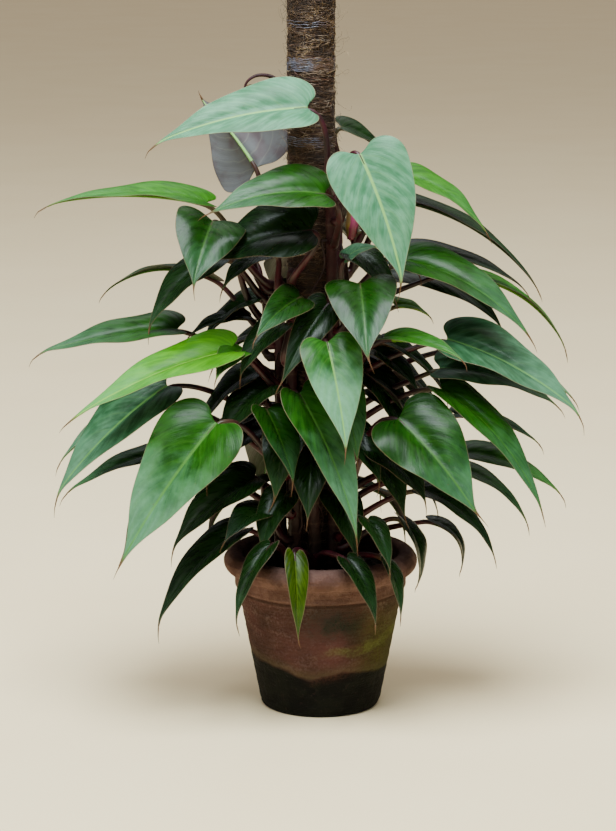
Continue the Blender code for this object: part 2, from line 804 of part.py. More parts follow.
def main():
    """Build the whole object."""
    clear_scene()
    clay = plain_material("clay", CLAY, 0.88)
    earth = plain_material("earth", EARTH, 0.97)
    coir = plain_material("coir", COIR, 0.95)
    timber = plain_material("timber", TIMBER, 0.7)
    twine = plain_material("twine", TWINE, 0.45)
    bark = plain_material("stem_bark", BARK, 0.5)
    new_growth = plain_material("new_growth", NEW_GROWTH, 0.45)
    finishes = {
        "bright": plain_material("leaf_bright", GREEN_BRIGHT, 0.4),
        "mid": plain_material("leaf_mid", GREEN_MID, 0.35),
        "deep": plain_material("leaf_deep", GREEN_DEEP, 0.3),
        "silver": plain_material("leaf_silver", GREEN_SILVER, 0.45),
    }
    pot = build_pot(clay)
    soil = build_soil(earth)
    solids = [pot, soil] + build_pole(coir, timber, twine) + build_stems(bark)
    solids.append(build_shoot(new_growth))
    place_leaves(finishes, solids)


main()
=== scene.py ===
"""Looks of a potted climbing philodendron: clay pot, soil, coir pole, stems and leaves.

Everything is in metres in the part's own frame: +Z up, the pot's foot on Z = 0, the fuller
side of the plant towards -Y. Each leaf follows the same stalk and midrib as its body in the
frame, and the pot, pole, soil and stems are turned or swept again at a finer grain.
"""
from __future__ import annotations

import functools
import itertools
import logging
import math
import random
from dataclasses import dataclass, field
from enum import Enum
from typing import Any, Iterable, Sequence, Union

import bmesh
import bpy
import numpy as np
from mathutils import Matrix, Vector


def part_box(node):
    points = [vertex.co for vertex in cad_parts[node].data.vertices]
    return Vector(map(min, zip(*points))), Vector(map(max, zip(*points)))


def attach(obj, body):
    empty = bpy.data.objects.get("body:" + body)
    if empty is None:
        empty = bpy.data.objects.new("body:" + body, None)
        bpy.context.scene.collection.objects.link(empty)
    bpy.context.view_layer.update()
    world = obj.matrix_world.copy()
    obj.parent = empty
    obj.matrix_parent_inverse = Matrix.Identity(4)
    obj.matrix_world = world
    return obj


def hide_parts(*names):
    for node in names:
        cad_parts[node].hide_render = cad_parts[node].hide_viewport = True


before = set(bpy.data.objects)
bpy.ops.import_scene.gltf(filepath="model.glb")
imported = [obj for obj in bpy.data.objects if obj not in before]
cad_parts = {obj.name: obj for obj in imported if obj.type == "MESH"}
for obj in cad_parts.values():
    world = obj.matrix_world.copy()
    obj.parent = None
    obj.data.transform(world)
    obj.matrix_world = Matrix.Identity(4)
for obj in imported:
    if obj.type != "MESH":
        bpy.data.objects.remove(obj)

LOG = logging.getLogger("philodendron")
BODY = "root"
MM = 0.001
UP = Vector((0.0, 0.0, 1.0))

Colour = tuple[float, float, float]
Number = Union[float, "Wire"]


# ---- Node trees ----


class Wire:
    """An output socket of a node tree. Arithmetic on it adds Math nodes."""

    def __init__(self, graph: "Graph", socket: bpy.types.NodeSocket) -> None:
        """Keep the socket and the graph it belongs to."""
        self.graph = graph
        self.socket = socket

    def math(self, operation: str, first: Number, second: Number = 0.0) -> "Wire":
        """Add one Math node."""
        return self.graph.wire("ShaderNodeMath", {"operation": operation}, {0: first, 1: second})

    def __add__(self, other: Number) -> "Wire":
        """Return self + other."""
        return self.math("ADD", self, other)

    def __radd__(self, other: Number) -> "Wire":
        """Return other + self."""
        return self.math("ADD", other, self)

    def __sub__(self, other: Number) -> "Wire":
        """Return self - other."""
        return self.math("SUBTRACT", self, other)

    def __rsub__(self, other: Number) -> "Wire":
        """Return other - self."""
        return self.math("SUBTRACT", other, self)

    def __mul__(self, other: Number) -> "Wire":
        """Return self * other."""
        return self.math("MULTIPLY", self, other)

    def __rmul__(self, other: Number) -> "Wire":
        """Return other * self."""
        return self.math("MULTIPLY", other, self)

    def __truediv__(self, other: Number) -> "Wire":
        """Return self / other."""
        return self.math("DIVIDE", self, other)

    def __rtruediv__(self, other: Number) -> "Wire":
        """Return other / self."""
        return self.math("DIVIDE", other, self)

    def __pow__(self, other: Number) -> "Wire":
        """Return self to the power other."""
        return self.math("POWER", self, other)

    def __abs__(self) -> "Wire":
        """Return the absolute value."""
        return self.math("ABSOLUTE", self)

    def fraction(self) -> "Wire":
        """Return the fractional part."""
        return self.math("FRACT", self)

    def clamped(self) -> "Wire":
        """Return the value held between 0 and 1."""
        return self.graph.wire("ShaderNodeClamp", {}, {0: self})


class Graph:
    """Adds nodes to one node tree."""

    def __init__(self, tree: bpy.types.NodeTree) -> None:
        """Keep the tree that nodes are added to."""
        self.tree = tree

    def node(self, kind: str, settings: dict[str, Any], inputs: dict[Any, Any]) -> bpy.types.Node:
        """Add one node.

        Args:
            kind: the node's type.
            settings: the node's own settings, or "stops" for a ramp, set first.
            inputs: a value or a Wire for each input, by name or number.

        Returns:
            The node.
        """
        result = self.tree.nodes.new(kind)
        for key, value in settings.items():
            if key == "stops":
                self.set_stops(result, value)
            else:
                setattr(result, key, value)
        for key, value in inputs.items():
            self.feed(result.inputs[key], value)
        return result

    def wire(self, kind: str, settings: dict[str, Any], inputs: dict[Any, Any], output: Any = 0) -> Wire:
        """Add one node and return one of its outputs."""
        return Wire(self, self.node(kind, settings, inputs).outputs[output])

    def feed(self, socket: bpy.types.NodeSocket, value: Any) -> None:
        """Set or link one input.

        Args:
            socket: the input.
            value: a Wire, a number, a colour or a vector.
        """
        if isinstance(value, Wire):
            self.tree.links.new(value.socket, socket)
        elif isinstance(value, tuple) and socket.type == "RGBA":
            socket.default_value = (value[0], value[1], value[2], 1.0)
        else:
            socket.default_value = value

    @staticmethod
    def set_stops(ramp: bpy.types.Node, stops: Sequence[tuple[float, Colour]]) -> None:
        """Give a colour ramp its stops.

        Args:
            ramp: the ramp node.
            stops: places from 0 to 1 with their colours.
        """
        elements = ramp.color_ramp.elements
        while len(elements) < len(stops):
            elements.new(1.0)
        for element, (place, colour) in zip(elements, stops):
            element.position = place
            element.color = (colour[0], colour[1], colour[2], 1.0)

    def vector(self, operation: str, first: Any, second: Any = (0.0, 0.0, 0.0), output: Any = 0) -> Wire:
        """Add one Vector Math node."""
        return self.wire("ShaderNodeVectorMath", {"operation": operation}, {0: first, 1: second}, output)

    def scaled(self, vector: Any, factor: Number) -> Wire:
        """Scale a vector."""
        return self.wire("ShaderNodeVectorMath", {"operation": "SCALE"}, {0: vector, "Scale": factor})

    def noise(self, place: Any, scale: float, detail: float = 3.0, output: str = "Fac") -> Wire:
        """Add a noise texture."""
        inputs = {"Vector": place, "Scale": scale, "Detail": detail}
        return self.wire("ShaderNodeTexNoise", {}, inputs, output)

    def spread(self, value: Number, low: Number, high: Number) -> Wire:
        """Turn a range into 0 to 1 with soft ends."""
        settings = {"interpolation_type": "SMOOTHSTEP"}
        return self.wire("ShaderNodeMapRange", settings, {"Value": value, 1: low, 2: high})


class Paint(Graph):
    """Builds one Principled material."""

    COLOUR_A = 6
    COLOUR_B = 7
    COLOUR_RESULT = 2

    def __init__(self, name: str) -> None:
        """Make the material.

        Args:
            name: the material's name.
        """
        self.material = bpy.data.materials.new(name)
        self.material.use_nodes = True
        super().__init__(self.material.node_tree)
        self.shader = self.tree.nodes["Principled BSDF"]

    def place(self) -> Wire:
        """Return the Object coordinates."""
        return self.wire("ShaderNodeTexCoord", {}, {}, "Object")

    def attribute(self, name: str) -> Wire:
        """Return a number stored on the mesh."""
        return self.wire("ShaderNodeAttribute", {"attribute_name": name}, {}, "Fac")

    def parts(self, vector: Wire) -> tuple[Wire, Wire, Wire]:
        """Split a vector."""
        node = self.node("ShaderNodeSeparateXYZ", {}, {0: vector})
        return tuple(Wire(self, output) for output in node.outputs)

    def joined(self, x: Number, y: Number, z: Number) -> Wire:
        """Put three numbers in one vector."""
        return self.wire("ShaderNodeCombineXYZ", {}, {0: x, 1: y, 2: z})

    def blend(self, factor: Number, first: Any, second: Any, mode: str = "MIX") -> Wire:
        """Mix two colours.

        Args:
            factor: share of the second.
            first: colour at 0.
            second: colour at 1.
            mode: the mix's blend type.

        Returns:
            The colour.
        """
        settings = {"data_type": "RGBA", "blend_type": mode}
        inputs = {0: factor, self.COLOUR_A: first, self.COLOUR_B: second}
        return self.wire("ShaderNodeMix", settings, inputs, self.COLOUR_RESULT)

    def ramp(self, value: Wire, stops: Sequence[tuple[float, Colour]]) -> Wire:
        """Turn a number into a colour."""
        return self.wire("ShaderNodeValToRGB", {"stops": stops}, {0: value}, "Color")

    def bump(self, height: Wire, depth: float, under: Any = None) -> Wire:
        """Turn a height into a normal.

        Args:
            height: height from 0 to 1.
            depth: height of 1 in metres.
            under: a coarser bump beneath, if any.

        Returns:
            The normal.
        """
        inputs = {"Strength": 1.0, "Distance": depth, "Height": height}
        if under is not None:
            inputs["Normal"] = under
        return self.wire("ShaderNodeBump", {}, inputs)

    def done(self, colour: Any, roughness: Any, normal: Any = None, **constants: Any) -> bpy.types.Material:
        """Connect the shader.

        Args:
            colour: base colour.
            roughness: roughness.
            normal: normal, if any.
            constants: other sockets by name, with _ for a space.

        Returns:
            The material.
        """
        self.feed(self.shader.inputs["Base Color"], colour)
        self.feed(self.shader.inputs["Roughness"], roughness)
        if normal is not None:
            self.feed(self.shader.inputs["Normal"], normal)
        for key, value in constants.items():
            self.feed(self.shader.inputs[key.replace("_", " ")], value)
        return self.material


class Recipe(Graph):
    """Builds one Geometry Nodes tree and turns its result into a plain mesh."""

    SOCKETS = {float: "NodeSocketFloat", int: "NodeSocketInt"}

    def __init__(self, name: str) -> None:
        """Make the tree with its geometry input and output.

        Args:
            name: the tree's name.
        """
        super().__init__(bpy.data.node_groups.new(name, "GeometryNodeTree"))
        self.tree.interface.new_socket("Geometry", in_out="INPUT", socket_type="NodeSocketGeometry")
        self.tree.interface.new_socket("Geometry", in_out="OUTPUT", socket_type="NodeSocketGeometry")
        self.start = self.tree.nodes.new("NodeGroupInput")
        self.values: dict[str, Any] = {}

    def geometry(self) -> Wire:
        """Return the geometry that the tree starts from."""
        return Wire(self, self.start.outputs["Geometry"])

    def size(self, name: str, value: Any) -> Wire:
        """Add a named input.

        Args:
            name: the input's name.
            value: what the modifier gives it.

        Returns:
            The input.
        """
        kind = self.SOCKETS[type(value)]
        socket = self.tree.interface.new_socket(name, in_out="INPUT", socket_type=kind)
        self.values[socket.identifier] = value
        return Wire(self, self.start.outputs[name])

    def position(self) -> Wire:
        """Return each point's position."""
        return self.wire("GeometryNodeInputPosition", {}, {})

    def chance(self, low: Number, high: Number, seed: int) -> Wire:
        """Return a random number for each element."""
        node = self.node("FunctionNodeRandomValue", {"data_type": "FLOAT"}, {2: low, 3: high, "Seed": seed})
        return Wire(self, node.outputs[1])

    def moved(self, geometry: Wire, offset: Any) -> Wire:
        """Offset each point."""
        return self.wire("GeometryNodeSetPosition", {}, {"Geometry": geometry, "Offset": offset})

    def jitter(self, scale: float, detail: float, size: Number) -> Wire:
        """Return a smooth random offset for each point, up to about half of size."""
        cloud = self.noise(self.position(), scale, detail, "Color")
        return self.scaled(self.vector("SUBTRACT", cloud, (0.5, 0.5, 0.5)), size)

    def scattered(self, density: Wire, seed: int) -> bpy.types.Node:
        """Scatter points over the geometry that the tree starts from."""
        inputs = {"Mesh": self.geometry(), "Density": density, "Seed": seed}
        return self.node("GeometryNodeDistributePointsOnFaces", {}, inputs)

    def swept(self, curve: Wire, sides: int, radius: Number) -> Wire:
        """Sweep a round section along a curve.

        Args:
            curve: the curve.
            sides: sides of the section.
            radius: its radius.

        Returns:
            The mesh.
        """
        ring = self.wire("GeometryNodeCurvePrimitiveCircle", {}, {"Resolution": sides, "Radius": radius})
        inputs = {"Curve": curve, "Profile Curve": ring, "Fill Caps": True}
        return self.wire("GeometryNodeCurveToMesh", {}, inputs)

    def finish(self, geometry: Wire, material: bpy.types.Material) -> None:
        """End the tree in Realize Instances and Set Material.

        Args:
            geometry: the geometry so far.
            material: the finish.
        """
        solid = self.wire("GeometryNodeRealizeInstances", {}, {"Geometry": geometry})
        dressed = self.wire("GeometryNodeSetMaterial", {}, {"Geometry": solid, "Material": material})
        end = self.tree.nodes.new("NodeGroupOutput")
        self.tree.links.new(dressed.socket, end.inputs[0])

    def harvest(self, base: bpy.types.Object, name: str) -> bpy.types.Object:
        """Run the tree on an object and keep the result as a plain mesh.

        Args:
            base: the object that the tree starts from; it is removed.
            name: name of the result.

        Returns:
            The new object.
        """
        step = base.modifiers.new("grow", "NODES")
        step.node_group = self.tree
        for identifier, value in self.values.items():
            step[identifier] = value
        graph = bpy.context.evaluated_depsgraph_get()
        mesh = bpy.data.meshes.new_from_object(base.evaluated_get(graph), depsgraph=graph)
        bpy.data.objects.remove(base, do_unlink=True)
        mesh.name = name
        return linked(name, mesh)


# ---- Meshes ----


@dataclass
class Shell:
    """Points, faces and the numbers stored on the points."""

    points: np.ndarray
    faces: list[tuple[int, ...]]
    marks: dict[str, np.ndarray] = field(default_factory=dict)
    skins: list[int] = field(default_factory=list)

    def joined(self, other: "Shell") -> "Shell":
        """Put two shells in one.

        Args:
            other: the second shell.

        Returns:
            Both as one shell.
        """
        start = len(self.points)
        points = np.vstack([self.points, other.points])
        faces = self.faces + [tuple(start + i for i in face) for face in other.faces]
        marks = {key: np.concatenate([value, other.marks[key]]) for key, value in self.marks.items()}
        return Shell(points, faces, marks, self.skins + other.skins)


def linked(name: str, data: bpy.types.ID) -> bpy.types.Object:
    """Put a new object in the scene.

    Args:
        name: the object's name.
        data: its mesh, light or camera.

    Returns:
        The object.
    """
    result = bpy.data.objects.new(name, data)
    bpy.context.scene.collection.objects.link(result)
    return result


def raw_object(name: str, shell: Shell, materials: Sequence[bpy.types.Material]) -> bpy.types.Object:
    """Make an object from a shell, with its faces pointing outwards.

    Args:
        name: the object's name.
        shell: its points and faces.
        materials: its materials.

    Returns:
        The object.
    """
    mesh = bpy.data.meshes.new(name)
    mesh.from_pydata(shell.points.tolist(), [], shell.faces)
    for material in materials:
        mesh.materials.append(material)
    for key, values in shell.marks.items():
        mesh.attributes.new(key, "FLOAT", "POINT").data.foreach_set("value", values.astype(np.float32))
    if shell.skins:
        mesh.polygons.foreach_set("material_index", shell.skins)
    work = bmesh.new()
    work.from_mesh(mesh)
    bmesh.ops.recalc_face_normals(work, faces=work.faces)
    work.to_mesh(mesh)
    work.free()
    mesh.polygons.foreach_set("use_smooth", [True] * len(mesh.polygons))
    mesh.update()
    return linked(name, mesh)


def fit(piece: bpy.types.Object, slot: str, *nodes: str) -> bpy.types.Object:
    """Attach a finished piece to the plant and hide the frame's bodies that it replaces.

    Args:
        piece: the piece.
        slot: the record's material slot; not used.
        nodes: bodies of the frame that it replaces.

    Returns:
        The piece.
    """
    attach(piece, BODY)
    if nodes:
        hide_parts(*nodes)
    return piece


def unit(vectors: np.ndarray) -> np.ndarray:
    """Scale vectors to length 1."""
    return vectors / np.maximum(np.linalg.norm(vectors, axis=-1, keepdims=True), 1e-12)


def tube(path: np.ndarray, radii: np.ndarray, sides: int, marks: dict[str, np.ndarray], skin: int) -> Shell:
    """Sweep a round section along a path, with closed ends.

    Args:
        path: points along the middle.
        radii: radius at each point.
        sides: points round the section.
        marks: numbers for each point of the path.
        skin: material number.

    Returns:
        The tube.
    """
    tangents = unit(np.gradient(path, axis=0))
    guide = np.array((0.31, 0.17, 0.93))
    if abs(float(tangents[0] @ guide)) > 0.92:
        guide = np.array((0.93, 0.31, 0.17))
    across = np.empty_like(path)
    current = guide
    for i, tangent in enumerate(tangents):
        current = current - tangent * float(current @ tangent)
        current = current / max(float(np.linalg.norm(current)), 1e-9)
        across[i] = current
    upward = np.cross(tangents, across)
    turns = np.linspace(0.0, 2.0 * math.pi, sides, endpoint=False)
    ring = across[:, None] * np.cos(turns)[None, :, None] + upward[:, None] * np.sin(turns)[None, :, None]
    points = (path[:, None] + ring * radii[:, None, None]).reshape(-1, 3)
    last = (len(path) - 1) * sides
    faces = [tuple(range(sides)), tuple(range(last, last + sides))] + ring_faces(len(path), sides)
    spread = {key: np.repeat(value, sides) for key, value in marks.items()}
    return Shell(points, faces, spread, [skin] * len(faces))


def ring_faces(rings: int, sides: int, closed: bool = False) -> list[tuple[int, ...]]:
    """Faces between rings of points that follow one another.

    Args:
        rings: number of rings.
        sides: points in each ring.
        closed: whether the last ring joins the first.

    Returns:
        The faces.
    """
    faces: list[tuple[int, ...]] = []
    for row, i in itertools.product(range(rings if closed else rings - 1), range(sides)):
        j = (i + 1) % sides
        low = row * sides
        high = (row + 1) % rings * sides
        faces.append((low + i, low + j, high + j, high + i))
    return faces


def turned_faces(rings: int, sides: int) -> list[tuple[int, ...]]:
    """Faces of a turned body, whose last two points close its first and its last ring.

    Args:
        rings: number of rings.
        sides: points in each ring.

    Returns:
        The faces.
    """
    faces = ring_faces(rings, sides)
    last = (rings - 1) * sides
    for i in range(sides):
        j = (i + 1) % sides
        faces.append((last + sides, j, i))
        faces.append((last + sides + 1, last + i, last + j))
    return faces


def open_band(name: str, sides: int, rings: Sequence[tuple[float, float, float]]) -> bpy.types.Object:
    """Make a band of faces between rings round the Z axis or the pole.

    Args:
        name: the object's name.
        sides: points in each ring.
        rings: place on X, radius and height of each ring.

    Returns:
        The object.
    """
    angle = 2.0 * math.pi * np.arange(sides) / sides
    rows = [np.stack([x + radius * np.cos(angle), radius * np.sin(angle), np.full(sides, z)], -1)
            for x, radius, z in rings]
    return raw_object(name, Shell(np.vstack(rows), ring_faces(len(rings), sides)), [])


def catmull(points: Sequence[Sequence[float]], steps: int) -> np.ndarray:
    """Draw a smooth curve through points.

    Args:
        points: the points, each of any number of values.
        steps: stretches between two points.

    Returns:
        The curve's points.
    """
    rows = np.array(points, float)
    rows = np.vstack([2.0 * rows[0] - rows[1], rows, 2.0 * rows[-1] - rows[-2]])
    result = []
    for i in range(1, len(rows) - 2):
        for share in np.arange(steps) / steps:
            a, b, c, d = rows[i - 1], rows[i], rows[i + 1], rows[i + 2]
            result.append(0.5 * (2.0 * b + (c - a) * share + (2.0 * a - 5.0 * b + 4.0 * c - d) * share ** 2
                                 + (3.0 * b - a - 3.0 * c + d) * share ** 3))
    result.append(rows[-2])
    return np.array(result)


def wavy(values: np.ndarray, seed: int, waves: int = 4) -> np.ndarray:
    """Smooth seeded waves of about unit height.

    Args:
        values: where they are read, in turns.
        seed: seed of their phases.
        waves: how many are added up.

    Returns:
        Heights.
    """
    dice = random.Random(seed)
    total = np.zeros_like(values)
    for number in range(1, waves + 1):
        total = total + np.sin(2.0 * math.pi * (number * values + dice.random())) / number
    return total / 1.5


# ---- The plant's plan, as the frame's bodies follow it ----

SOIL_LEVEL = 0.185
POLE_X = -0.012
POLE_TOP = 0.975
WRAP_RADIUS = 0.03
CORE_RADIUS = 0.014
STEM_RADIUS = 0.0095
STEM_TAPER = 0.8
STEM_WANDER = 5.0
STEM_RING = 0.0414
STALK_RADIUS = 0.005
STALK_TIP_SHARE = 0.6
GAP = 0.0003

# A stalk leaves its stem partly straight out and partly towards its blade, no lower than
# LOWEST_FOOT over the soil, and arrives climbing, heading outwards and along the midrib.
LOWEST_FOOT = 0.012
MISSING_STEM_COST = 2500.0
LEAVE_RADIAL = 0.6
LEAVE_TOWARDS = 0.8
ARRIVE_UP = 0.85
ARRIVE_OUT = 0.45
ARRIVE_ALONG = 1.8
FOOT_PULL = 0.38
BASE_PULL = 0.34

# Climbing stems: name, angle round the pole in degrees, height above the soil
STEMS = (
    ("front_right", -48.0, 0.52),
    ("front_left", -122.0, 0.4),
    ("left", 168.0, 0.385),
    ("right", 34.0, 0.505),
    ("back", 102.0, 0.43),
    ("front", -86.0, 0.33),
)

# Leaves, the foremost first. Angles are degrees round the pole (0 is +X, -90 is the
# front). Reach is millimetres out from the coir, height is millimetres above the soil.
# number, blade start (angle, reach, height), tip (angle, reach, height), width, turn of
# the blade about its midrib, arch as a share of the length, climb of the stalk in mm
LEAVES = (
    (1, -52, 68, 550, -48, 142, 388, 110, 35, 0.04, 90),
    (2, -94, 34, 606, -157, 190, 560, 92, -40, 0.05, 110),
    (3, -140, 126, 212, -146, 262, 38, 122, -35, 0.03, 80),
    (4, -43, 120, 218, -39, 240, 104, 114, 35, 0.04, 80),
    (5, -80, 84, 318, -76, 154, 188, 80, 10, 0.04, 70),
    (6, -56, 80, 388, -70, 172, 306, 92, 5, 0.06, 70),
    (7, -99, 62, 250, -69, 130, 66, 92, 10, 0.05, 70),
    (8, -80, 62, 502, -134, 150, 480, 90, -30, 0.08, 70),
    (9, -89, 46, 454, -155, 128, 406, 106, -40, 0.07, 70),
    (14, -158, 104, 462, -138, 168, 388, 92, -20, 0.06, 90),
    (10, -13, 148, 308, -14, 330, 214, 105, 20, 0.06, 60),
    (11, -14, 94, 408, -16, 264, 312, 92, 15, 0.09, 60),
    (12, -151, 86, 296, -163, 298, 208, 90, -20, 0.05, 60),
    (13, -174, 156, 244, -170, 310, 98, 105, -25, 0.05, 60),
    (15, 180, 104, 478, -177, 318, 476, 82, -10, 0.06, 160),
    (16, -20, 146, 240, -22, 290, 84, 72, 10, 0.09, 60),
    (17, 0, 76, 514, -10, 200, 442, 72, 10, 0.1, 90),
    (18, 12, 88, 480, 2, 270, 358, 55, 5, 0.1, 70),
    (20, -99, 56, 370, -112, 160, 331, 50, -35, 0.06, 30),
    (19, -74, 46, 360, -106, 112, 264, 50, -40, 0.05, 30),
    (21, 180, 142, 314, -178, 330, 284, 80, -15, 0.03, 60),
    (22, -175, 86, 392, -171, 184, 298, 78, -15, 0.1, 60),
    (23, -10, 138, 252, -10, 296, 206, 92, 20, 0.08, 60),
    (24, -124, 72, 226, -99, 102, 136, 78, -10, 0.05, 60),
    (25, -144, 80, 64, -150, 202, -58, 75, -5, 0.09, 40),
    (26, -100, 92, 46, -96, 130, -62, 34, -20, 0.1, 30),
    (27, -116, 86, 54, -123, 148, -44, 42, 5, 0.1, 30),
    (28, -70, 98, 40, -62, 146, -42, 44, 0, 0.1, 30),
    (29, -56, 96, 88, -56, 150, 26, 44, -10, 0.1, 40),
    (30, -47, 108, 34, -51, 152, -36, 38, -30, 0.12, 20),
    (31, -19, 92, 72, -24, 120, -16, 52, -20, 0.2, 40),
    (32, 0, 124, 60, -3, 167, -8, 42, 0, 0.25, 40),
    (33, -165, 45, 120, -166, 160, 26, 88, -15, 0.08, 50),
    (34, 169, 132, 148, 178, 298, 92, 78, -5, 0.06, 50),
    (35, 166, 98, 390, 174, 246, 370, 56, 5, 0.16, 60),
    (36, 13, 84, 418, 4, 254, 370, 66, 10, 0.09, 60),
    (37, 13, 142, 380, 7, 312, 272, 56, 5, 0.16, 60),
    (38, 38, 104, 380, 12, 234, 298, 70, 30, 0.12, 40),
    (39, -6, 168, 154, -7, 302, 102, 70, 10, 0.08, 60),
    (40, -38, 74, 170, -32, 146, 102, 85, 10, 0.08, 70),
    (41, -41, 94, 316, -33, 202, 295, 60, 5, 0.08, 60),
    (42, 170, 34, 522, 152, 132, 604, 118, 112, 0.04, 160),
    (43, 44, 24, 572, 33, 108, 506, 50, 25, 0.1, 90),
    (44, 67, 36, 344, 79, 185, 222, 95, 30, 0.12, 60),
    (45, 103, 34, 410, 98, 172, 280, 95, -30, 0.12, 60),
    (46, 53, 46, 182, 64, 192, 40, 95, 25, 0.12, 60),
    (47, 120, 40, 170, 109, 182, 40, 95, -30, 0.12, 60),
)

# Lesser leaves that fill the crown between the ones above, in the same columns
FILLERS = (
    (1, 169, 185, 213, 175, 307, 128, 78, -10, 0.06, 70),
    (2, 4, 177, 291, 1, 318, 218, 76, 10, 0.06, 70),
    (3, 110, 12, 594, 140, 79, 625, 40, 20, 0.08, 110),
    (4, -144, 39, 84, -133, 135, 58, 58, -10, 0.1, 40),
    (5, 24, 91, 337, 21, 140, 319, 44, 10, 0.1, 50),
    (6, 177, 135, 126, -171, 219, 17, 60, -10, 0.1, 50),
    (7, 166, 52, 326, -176, 132, 305, 50, -10, 0.1, 50),
    (8, -155, 64, 295, -139, 131, 266, 50, -10, 0.1, 50),
    (9, -6, 157, 206, -4, 271, 166, 50, 10, 0.08, 60),
    (10, 5, 153, 128, 2, 259, 48, 50, 10, 0.12, 50),
    (11, -16, 116, 111, -14, 218, 20, 60, 10, 0.12, 50),
    (12, 60, 50, 300, 52, 150, 230, 72, 15, 0.1, 60),
    (13, 130, 50, 300, 138, 152, 236, 74, -15, 0.1, 60),
    (14, 90, 40, 250, 92, 152, 128, 82, 0, 0.1, 60),
    (15, 76, 38, 450, 68, 140, 388, 74, 15, 0.1, 70),
    (16, 118, 40, 345, 124, 150, 318, 66, -20, 0.1, 60),
    (17, 142, 52, 208, 147, 166, 96, 82, -10, 0.1, 60),
    (18, 36, 62, 262, 34, 172, 158, 82, 10, 0.1, 60),
    (19, 88, 52, 112, 86, 164, 2, 72, 0, 0.14, 50),
    (20, 137, 60, 92, 142, 150, -4, 62, -10, 0.16, 40),
    (21, 46, 60, 92, 44, 150, 2, 62, 10, 0.16, 40),
    (22, 150, 60, 400, 152, 168, 356, 62, -10, 0.1, 60),
    (23, 100, 30, 472, 108, 122, 420, 62, -10, 0.12, 70),
    (24, -60, 40, 200, -50, 110, 130, 66, 10, 0.1, 50),
    (25, -125, 30, 330, -140, 90, 262, 62, -10, 0.1, 50),
    (26, -20, 34, 300, -18, 120, 232, 66, 10, 0.1, 50),
    (27, -150, 40, 190, -156, 120, 120, 64, -10, 0.1, 50),
    (28, -88, 30, 170, -92, 92, 86, 62, 0, 0.1, 50),
    (29, -28, 42, 268, -24, 112, 150, 78, 10, 0.1, 50),
    (30, -6, 48, 236, -10, 134, 128, 80, 10, 0.1, 50),
    (31, 12, 50, 276, 6, 142, 196, 76, 5, 0.1, 50),
    (32, -30, 46, 176, -34, 116, 78, 72, 5, 0.1, 40),
    (33, 8, 46, 168, 4, 140, 66, 76, 5, 0.1, 40),
    (34, -66, 34, 262, -62, 96, 160, 66, 5, 0.1, 50),
    (35, -112, 32, 210, -112, 92, 108, 66, -5, 0.1, 40),
    (36, -136, 40, 250, -146, 116, 168, 72, -10, 0.1, 50),
    (37, -164, 42, 262, -168, 124, 172, 74, -10, 0.1, 50),
    (38, 176, 46, 196, 178, 132, 96, 74, -5, 0.1, 40),
    (39, -40, 36, 420, -36, 104, 360, 60, 10, 0.1, 60),
    (40, -140, 34, 420, -150, 104, 372, 62, -10, 0.1, 60),
    (41, 20, 40, 440, 14, 118, 376, 64, 5, 0.1, 60),
    (43, 168, 40, 352, 174, 116, 286, 66, -10, 0.1, 60),
    (45, -60, 30, 110, -60, 84, 30, 56, 5, 0.12, 30),
    (46, -120, 30, 110, -124, 84, 36, 56, -5, 0.12, 30),
    (47, -55, 44, 415, -34, 77, 430, 28, 30, 0.12, 40),
    (48, -16, 68, 303, -10, 150, 226, 50, 10, 0.1, 50),
    (49, -34, 52, 262, -24, 118, 186, 44, -10, 0.1, 50),
)

# Moves that a leaf may have taken in the frame to stay clear of the others: degrees
# round the pole, then millimetres up, along the stem and outwards.
SWINGS = (0, 3, -3, 6, -6, 9, -9, 13, -13, 17, -17)
LIFTS = (0, 8, -8, 16, -16)
SLIDES = (0, -14, 14, -28)
PUSHES = (0, 8, 16)
# A body's nearest corner stands TIP_GAP off its curve's tip, give or take TIP_MISS. The
# search ends at GOOD_MATCH, and anything worse than POOR_MATCH is reported.
TIP_GAP = 0.0006
TIP_MISS = 0.0005
GOOD_MATCH = 1e-5
POOR_MATCH = 1e-4

# Blade outline from the stalk to the tip: place along the midrib, place of the edge
# along the midrib, and share of the half width at that edge.
OUTLINE = (
    (0.000, 0.00, 0.09),
    (0.012, -0.055, 0.42),
    (0.035, -0.035, 0.74),
    (0.09, 0.05, 0.97),
    (0.2, 0.17, 1.00),
    (0.38, 0.37, 0.86),
    (0.6, 0.6, 0.56),
    (0.8, 0.8, 0.21),
    (0.91, 0.91, 0.06),
    (1.00, 1.00, 0.012),
)


def stem_angle(index: int, height: float) -> float:
    """Angle of a stem round the pole, wandering gently with height."""
    return math.radians(STEMS[index][1] + STEM_WANDER * math.sin(9.0 * height + 1.7 * index))


def round_pole(turn: float, radius: float, height: float) -> tuple[float, float, float]:
    """Point at an angle round the pole's axis, a distance from it and a height."""
    return POLE_X + radius * math.cos(turn), radius * math.sin(turn), height


def stem_point(index: int, height: float, ring: float = STEM_RING) -> Vector:
    """Point of a stem's middle at a height above the soil."""
    return Vector(round_pole(stem_angle(index, height), ring, SOIL_LEVEL + height))


def polar(angle: float, reach: float, height: float) -> Vector:
    """Point from degrees round the pole, and millimetres out from the coir and over the soil."""
    turn = math.radians(angle)
    return Vector(round_pole(turn, WRAP_RADIUS + reach * MM, SOIL_LEVEL + height * MM))


def nearest_stem(angle: float, height: float) -> int:
    """Choose the stem that a leaf springs from.

    Args:
        angle: angle of the blade's start in degrees.
        height: height of the stalk's foot in metres.

    Returns:
        The stem's number.
    """
    costs = []
    for _name, stem, top in STEMS:
        turn = abs((angle - stem + 180.0) % 360.0 - 180.0)
        costs.append(turn + max(0.0, height - top + LOWEST_FOOT) * MISSING_STEM_COST)
    return costs.index(min(costs))


# ---- Finishes ----


